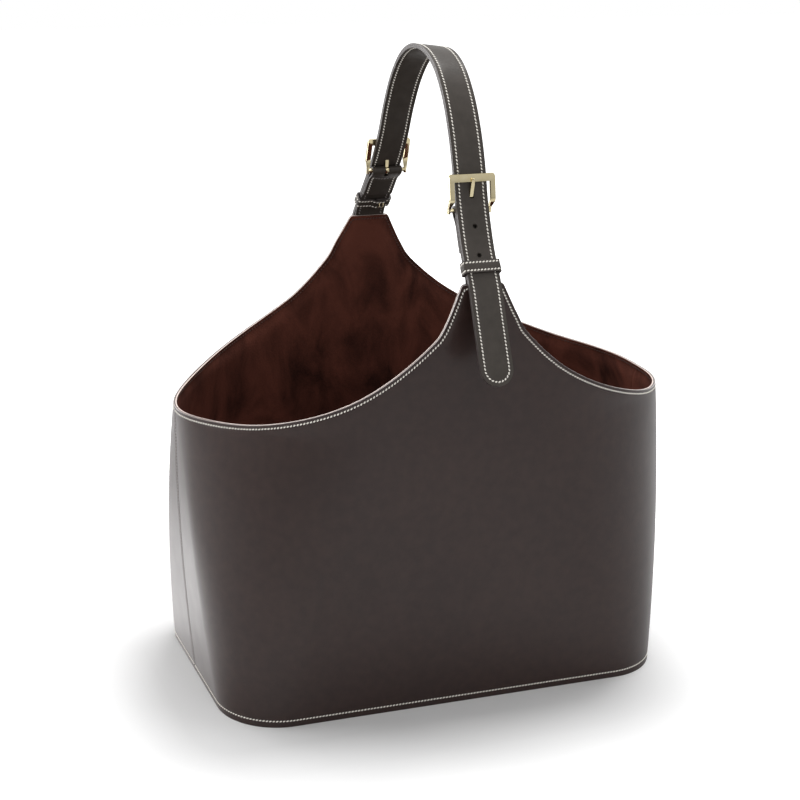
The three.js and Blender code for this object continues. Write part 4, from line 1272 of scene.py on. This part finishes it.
def keeper_track():
    """Middle line of the keeper's strip in its own XY plane, from its inner lapped end round the
    strap to its outer one."""
    side = KEEPER_HALF_WIDTH - KEEPER_CORNER
    lap_start = KEEPER_LAP / 2 - KEEPER_LAP_SHIFT
    lap_end = -KEEPER_LAP / 2 - KEEPER_LAP_SHIFT
    points = [(lap_start, KEEPER_IN), (lerp(lap_start, -side, 0.5), KEEPER_IN)]
    turns = [(-side, KEEPER_IN - KEEPER_CORNER, 90), (-side, -KEEPER_OUT + KEEPER_CORNER, 180),
             (side, -KEEPER_OUT + KEEPER_CORNER, 270), (side, KEEPER_IN - KEEPER_CORNER, 360)]
    for x, y, start in turns:
        for angle in spaced(math.radians(start), math.radians(start + 90), 8):
            points.append((x + math.cos(angle) * KEEPER_CORNER,
                           y + math.sin(angle) * KEEPER_CORNER))
    for share in spaced(0, 1, 8):
        x = lerp(lap_start + 2 * KEEPER_STEP, lap_start + LAYER_GAP, share)
        points.append((x, KEEPER_IN + KEEPER_STEP * ease(share, 0, 1)))
    points += [(lerp(lap_start, lap_end, share), KEEPER_IN + KEEPER_STEP) for share in (0.5, 1)]
    return Line([Vector((x, y, 0)) for x, y in points])


def keeper(side, side_y):
    """A strip bent round strap and loop, its two rows of sewing, and the staples in its lap."""
    track = keeper_track()
    columns = 150
    heights = mirrored([0.2, 0.4, 0.53, 0.6, 0.644, 0.69, 0.75, 0.84, 0.93, 1])
    half = KEEPER_THICKNESS / 2

    def outward(arc):
        along = track.heading(arc, 0.00012)
        return Vector((along.y, -along.x, 0))

    def place(column, row):
        arc = track.length * column / columns
        z = heights[row] * KEEPER_HEIGHT / 2
        dip = sewn_dip(abs(z) - KEEPER_SEWING) * KEEPER_DIP
        return track.at(arc) + outward(arc) * (half - dip) + Vector((0, 0, z))

    where = fitting_place(side_y, above_neck(side_y, KEEPER_UP_STRAP[side_y]))
    body = f"{side}_loop"
    sheet = leather_sheet(f"{side}_keeper_leather", strap_leather, painted_edge, columns + 1,
                          len(heights), place, outward(track.length / 2), KEEPER_THICKNESS)
    sheet.data.transform(where)
    finish_piece(sheet, "strap_leather", f"{side}_keeper", body=body)
    sunk = half - sewn_dip(0) * KEEPER_DIP - THREAD_SUNK
    paths = []
    for z in (-KEEPER_SEWING, KEEPER_SEWING):
        row = []
        for arc in spaced(KEEPER_LAP, track.length - KEEPER_SEWING_END, columns):
            point = track.at(arc) + outward(arc) * sunk + Vector((0, 0, z))
            row.append((where @ point, where.to_3x3() @ outward(arc)))
        paths.append(row)
    sew(f"{side}_keeper_stitching", paths, cream_thread, "strap_leather", body)
    for which, sign in (("left", -1), ("right", 1)):
        staple(f"{side}_staple_{which}", sign * STAPLE_SPACING / 2 - KEEPER_LAP_SHIFT, where, body,
               f"{side}_keeper_staple_{which}")


def staple(name, x, where, body, node):
    """A bent wire: one leg in, the crown along the keeper's height, and the other leg."""
    leg_at = STAPLE_LENGTH / 2 - STAPLE_RADIUS
    leg_start = KEEPER_IN - KEEPER_THICKNESS / 2
    crown = KEEPER_IN + KEEPER_STEP + KEEPER_THICKNESS / 2 + LAYER_GAP + STAPLE_RADIUS
    leg = crown - STAPLE_BEND - leg_start
    wire = primitive(bpy.ops.mesh.primitive_circle_add, name, vertices=10, radius=STAPLE_RADIUS,
                     fill_type="NGON", location=(x, leg_start, -leg_at),
                     rotation=(math.pi / 2, 0, 0))
    bend_at = leg_at - STAPLE_BEND
    with editing(wire):
        extrude((0, leg, 0))
        for z, move in ((-bend_at, (0, 0, 2 * bend_at)), (bend_at, (0, -leg, 0))):
            bpy.ops.mesh.spin(steps=5, angle=math.pi / 2, center=(x, crown - STAPLE_BEND, z),
                              axis=(-1, 0, 0))
            extrude(move)
        close_up()
    wire.data.transform(where)
    finish_piece(wire, "pale_brass", node, finish=gold, body=body)


tub_walls()
tub_bottom()
handle_strap()
for side, side_y in SIDES.items():
    leather_loop(side, side_y)
    buckle_frame(side, side_y)
    buckle_prong(side, side_y)
    keeper(side, side_y)


# Camera

def photo_camera():
    """The camera that the photograph was taken with, fitted to the basket's outline."""
    back = Vector((math.sin(CAMERA_AZIMUTH) * math.cos(CAMERA_ELEVATION),
                   -math.cos(CAMERA_AZIMUTH) * math.cos(CAMERA_ELEVATION),
                   math.sin(CAMERA_ELEVATION)))
    right = (-back).cross(Vector((0, 0, 1))).normalized()
    up = right.cross(-back)
    rolled_right = right * math.cos(CAMERA_ROLL) + up * math.sin(CAMERA_ROLL)
    rolled_up = up * math.cos(CAMERA_ROLL) - right * math.sin(CAMERA_ROLL)
    data = bpy.data.cameras.new("photo_camera")
    data.sensor_width = SENSOR
    data.lens = FOCAL_PIXELS / PHOTO_SIDE * SENSOR
    data.shift_x = (PHOTO_SIDE / 2 - PRINCIPAL_X) / PHOTO_SIDE
    data.shift_y = (PRINCIPAL_Y - PHOTO_SIDE / 2) / PHOTO_SIDE
    camera = bpy.data.objects.new("photo_camera", data)
    camera.matrix_world = (Matrix.Translation(CAMERA_TARGET + back * CAMERA_DISTANCE)
                           @ Matrix((rolled_right, rolled_up, back)).transposed().to_4x4())
    bpy.context.scene.collection.objects.link(camera)
    bpy.context.scene.camera = camera


# Studio

def polished_rays(tree, rays):
    """One for the rays that polished and clear things send out, and nought for all others."""
    return number(tree, "ADD", rays["Is Glossy Ray"], rays["Is Transmission Ray"])


def studio_floor():
    """A pale floor that keeps the basket's shadow and otherwise runs into the white backdrop. For
    what is polished, a pool on the floor to the left behind the basket also glows: a painted
    reflection, brightest at its middle."""
    floor = primitive(bpy.ops.mesh.primitive_plane_add, "studio_floor", size=8)
    material, tree, where = new_material("studio_floor_paint")
    rays = add(tree, "LightPath").outputs
    either_side = vector(tree, "ABSOLUTE", vector(tree, "SUBTRACT", where, SHADOW_CENTRE))
    past = vector(tree, "SUBTRACT", either_side, SHADOW_HALF_SIZE)
    from_tub = vector(tree, "LENGTH", vector(tree, "MAXIMUM", past, (0, 0, 0)))
    sweep = ranged(tree, from_tub, 0.03, 0.3, 0.02, 1.0)
    # Glow seen only in polished things, strongest at the pool's middle: painted reflection
    painted_glow_pool = ranged(tree, vector(tree, "DISTANCE", where, PAINTED_GLOW_POOL_CENTRE), 0.07, 0.25, 1.0, 0.0)
    seen = number(tree, "MULTIPLY", rays["Is Camera Ray"], sweep)
    strength = number(tree, "MULTIPLY_ADD", polished_rays(tree, rays), painted_glow_pool, seen)
    paint = add(tree, "BsdfDiffuse", {"Color": linear(FLOOR_PAINT)})
    glow = add(tree, "Emission", {"Color": linear(WHITE), "Strength": strength})
    show(tree, "AddShader", {0: paint.outputs[0], 1: glow.outputs[0]})
    floor.data.materials.append(material)


def studio_world():
    """White wherever the camera looks, an even pale room for light, and for what is polished a
    white backdrop and ceiling that darken towards the front of the room."""
    world = bpy.data.worlds.new("white_studio")
    bpy.context.scene.world = world
    world.use_nodes = True
    tree = world.node_tree
    tree.nodes.clear()
    rays = add(tree, "LightPath").outputs
    heading = add(tree, "TexCoord").outputs["Generated"]
    backward = vector(tree, "DOT_PRODUCT", heading, CEILING_DIRECTION)
    strengths = (ROOM_LIGHT, ranged(tree, backward, -1.0, 0.15, 0.15, 1.0), 1.0)
    room, polish, backdrop = [
        add(tree, "Background", {"Color": linear(WHITE), "Strength": strength}).outputs[0]
        for strength in strengths]
    light = add(tree, "MixShader", {0: polished_rays(tree, rays), 1: room, 2: polish})
    all_rays = add(tree, "MixShader", {0: rays["Is Camera Ray"], 1: light.outputs[0], 2: backdrop})
    add(tree, "OutputWorld", {"Surface": all_rays.outputs[0]})


def softbox(name, place, size, power):
    lamp = bpy.data.lights.new(name, "AREA")
    lamp.shape = "RECTANGLE"
    lamp.size, lamp.size_y = size
    lamp.energy = power
    holder = bpy.data.objects.new(name, lamp)
    holder.location = place
    holder.rotation_euler = (Vector(LAMP_AIM) - Vector(place)).to_track_quat("-Z", "Y").to_euler()
    bpy.context.scene.collection.objects.link(holder)


photo_camera()
studio_floor()
studio_world()
for lamp_name, (place, size, power) in LAMPS.items():
    softbox(lamp_name, place, size, power)
bpy.context.scene.view_settings.view_transform = "Standard"
